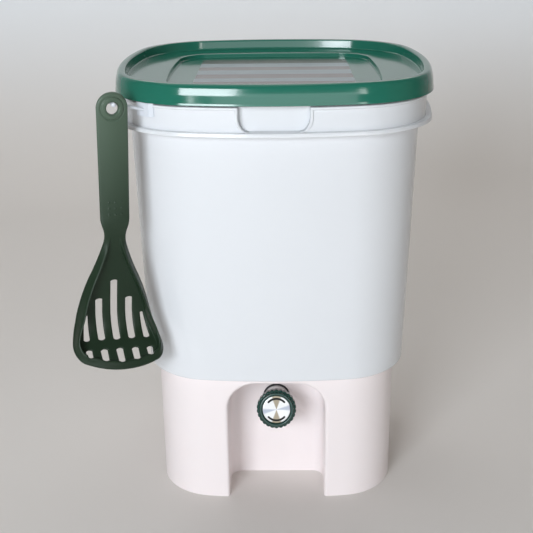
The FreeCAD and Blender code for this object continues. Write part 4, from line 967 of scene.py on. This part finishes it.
def build_scoop():
    """Two sheets either side of the middle sheet, meeting in a quarter-round at every edge:
    half thickness h sqrt(1 - (1 - d / h)^2) at distance d from the edge."""
    angle = np.arange(40) * 2.0 * math.pi / 40
    circle = np.stack([np.cos(angle), np.sin(angle)], axis=1)
    dots = np.array([[c * DOT_PITCH, DOT_MIDDLE_Z + r * DOT_PITCH] for r in (-1, 0, 1) for c in (-1, 0, 1)])
    loops = [scoop_outline(), HOLE_RADIUS * circle] + slot_loops()
    flat, triangles = scoop_triangles(loops, scoop_spots(loops, circle, dots))
    x, z = flat.T
    away = edge_distance(flat, loops)
    slope = (scoop_middle(z + SLOPE_STEP) - scoop_middle(z - SLOPE_STEP)) / (2 * SLOPE_STEP)
    normal = np.stack([np.zeros(len(flat)), -np.ones(len(flat)), slope], axis=1)
    normal /= np.linalg.norm(normal, axis=1)[:, None]
    half = BLADE_HALF + (HANDLE_HALF - BLADE_HALF) * smoothstep(*BLADE_FADE[::-1], z)
    fade = np.sqrt(1.0 - (1.0 - np.clip(away / np.minimum(half, SCOOP_ROUND), 0.0, 1.0)) ** 2)
    raised = eye_rise(flat) + dot_rise(flat, dots) + rim_rise(flat, loops[0])
    crown = HANDLE_CROWN * (x / HANDLE_TOP_RADIUS) ** 2 * smoothstep(*CROWN_FADE, z)
    sheet = np.stack([x, scoop_middle(z), z], axis=1)
    front = sheet + normal * ((half + raised - crown) * fade)[:, None]
    back = sheet - normal * (half * fade)[:, None]
    on_edge = away < ON_EDGE
    back_index = np.where(on_edge, np.arange(len(flat)), np.cumsum(~on_edge) - 1 + len(flat))
    points = np.vstack([front, back[~on_edge]])
    faces = triangles.tolist() + back_index[triangles[:, ::-1]].tolist()
    return hung(points), faces


def hung(points):
    """Points from the scoop's frame tilted about the hook's pin, turned and set where the scoop hangs."""
    x, y, z = points[:, 0], points[:, 1], points[:, 2] - PIN_HEIGHT
    leaning = x * math.cos(SCOOP_TILT) + z * math.sin(SCOOP_TILT)
    height = z * math.cos(SCOOP_TILT) - x * math.sin(SCOOP_TILT) + PIN_HEIGHT
    turned = np.stack([leaning * math.cos(SCOOP_YAW) - y * math.sin(SCOOP_YAW),
                       leaning * math.sin(SCOOP_YAW) + y * math.cos(SCOOP_YAW), height], axis=1)
    return turned + SCOOP_HOLE


add_piece("scoop_sheet", *build_scoop(), "hanging_scoop", "scoop_plastic", SCOOP_PLASTIC_PAINTED_SHEEN, ["scoop"])


# Pieces shown as they are in the frame
KEPT_NODES = {"scoop_hook": HOOK_PLASTIC, "spigot_body": TAP_PLASTIC, "bonnet": BONNET_STEEL,
              "strainer_plate": STRAINER_PLASTIC, "base_seal": SEAL_RUBBER, "lid_gasket": SEAL_RUBBER,
              "spigot_trim": TRIM_CHROME, "spigot_washer_outer": SEAL_RUBBER,
              "spigot_washer_inner": SEAL_RUBBER, "spigot_nut": TAP_PLASTIC, "valve_plug": VALVE_PLASTIC,
              "plug_ring_rear": SEAL_RUBBER, "plug_ring_front": SEAL_RUBBER, "knob_screw": SCREW_STEEL}
for name, material in KEPT_NODES.items():
    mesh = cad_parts[name].data
    mesh.materials.clear()
    mesh.materials.append(material)


# Stage


def stage_paper():
    """Pale paper, warmer on the floor; the wall glows for the camera alone, so that it lights nothing."""
    paper = moulded("stage_paper", (0.78, 0.745, 0.71), (0.79, 0.755, 0.72), cloud_scale=2.0, gloss=0.7,
                    spread=0.1, grain_scale=300.0, Emission_Color=WALL_GLOW_COLOUR)
    tinted_by_height(paper, WALL_COLOUR, 0.0, STAGE_BEND)
    tree = paper.node_tree
    seen = add_node(tree, "ShaderNodeLightPath").outputs["Is Camera Ray"]
    glow = fading(tree, place_xyz(tree)["Z"], 0.0, STAGE_BEND, 0.0, WALL_GLOW)
    strength = tree.nodes["Principled BSDF"].inputs["Emission Strength"]
    tree.links.new(calc(tree, "MULTIPLY", seen, glow), strength)
    return paper


def build_stage():
    """Sweep of paper: flat floor, a quarter circle (R sin a, R - R cos a), then an upright wall."""
    turn = np.linspace(0.0, math.pi / 2, 24)
    bend_y = STAGE_WALL_Y - STAGE_BEND + STAGE_BEND * np.sin(turn)
    y = np.concatenate([[-STAGE_REACH], bend_y, [STAGE_WALL_Y]])
    z = np.concatenate([[0.0], STAGE_BEND - STAGE_BEND * np.cos(turn), [STAGE_REACH]])
    sides = [np.stack([np.full(len(y), x), y, z], axis=1) for x in (-STAGE_REACH, STAGE_REACH)]
    points = np.stack(sides, axis=1).reshape(-1, 3)
    mesh = bpy.data.meshes.new("stage")
    mesh.from_pydata(points.tolist(), [], grid_faces(len(y), 2, False, False).tolist())
    mesh.polygons.foreach_set("use_smooth", np.ones(len(mesh.polygons), bool))
    mesh.materials.append(stage_paper())
    stage = bpy.data.objects.new("stage", mesh)
    bpy.context.scene.collection.objects.link(stage)


def add_lamp(name, place, aim, size, power, colour):
    """Soft rectangular lamp that faces a point."""
    lamp = bpy.data.lights.new(name, "AREA")
    lamp.shape = "RECTANGLE"
    lamp.size, lamp.size_y = size
    lamp.energy = power
    lamp.color = colour
    holder = bpy.data.objects.new(name, lamp)
    holder.visible_camera = False
    holder.location = place
    holder.rotation_euler = (Vector(aim) - Vector(place)).to_track_quat("-Z", "Y").to_euler()
    bpy.context.scene.collection.objects.link(holder)


def add_camera():
    """Camera at the photograph's place, turned sideways, tipped down and rolled a little."""
    camera = bpy.data.cameras.new("camera")
    camera.lens = CAMERA_LENS
    camera.sensor_width = CAMERA_SENSOR
    camera.clip_start = CAMERA_NEAR
    holder = bpy.data.objects.new("camera", camera)
    yaw = Matrix.Rotation(math.radians(CAMERA_YAW), 4, "Z")
    pitch = Matrix.Rotation(math.radians(90.0 - CAMERA_DOWN), 4, "X")
    roll = Matrix.Rotation(math.radians(CAMERA_ROLL), 4, "Z")
    holder.matrix_world = Matrix.Translation(CAMERA_PLACE) @ (yaw @ pitch) @ roll
    bpy.context.scene.collection.objects.link(holder)
    bpy.context.scene.camera = holder


build_stage()
for name, values in LAMPS.items():
    add_lamp(name, *values)
add_camera()

scene = bpy.context.scene
world = bpy.data.worlds.new("world")
world.use_nodes = True
world.node_tree.nodes["Background"].inputs["Color"].default_value = WORLD_COLOUR
world.node_tree.nodes["Background"].inputs["Strength"].default_value = WORLD_STRENGTH
scene.world = world
scene.view_settings.view_transform = "Standard"
scene.view_settings.look = "None"
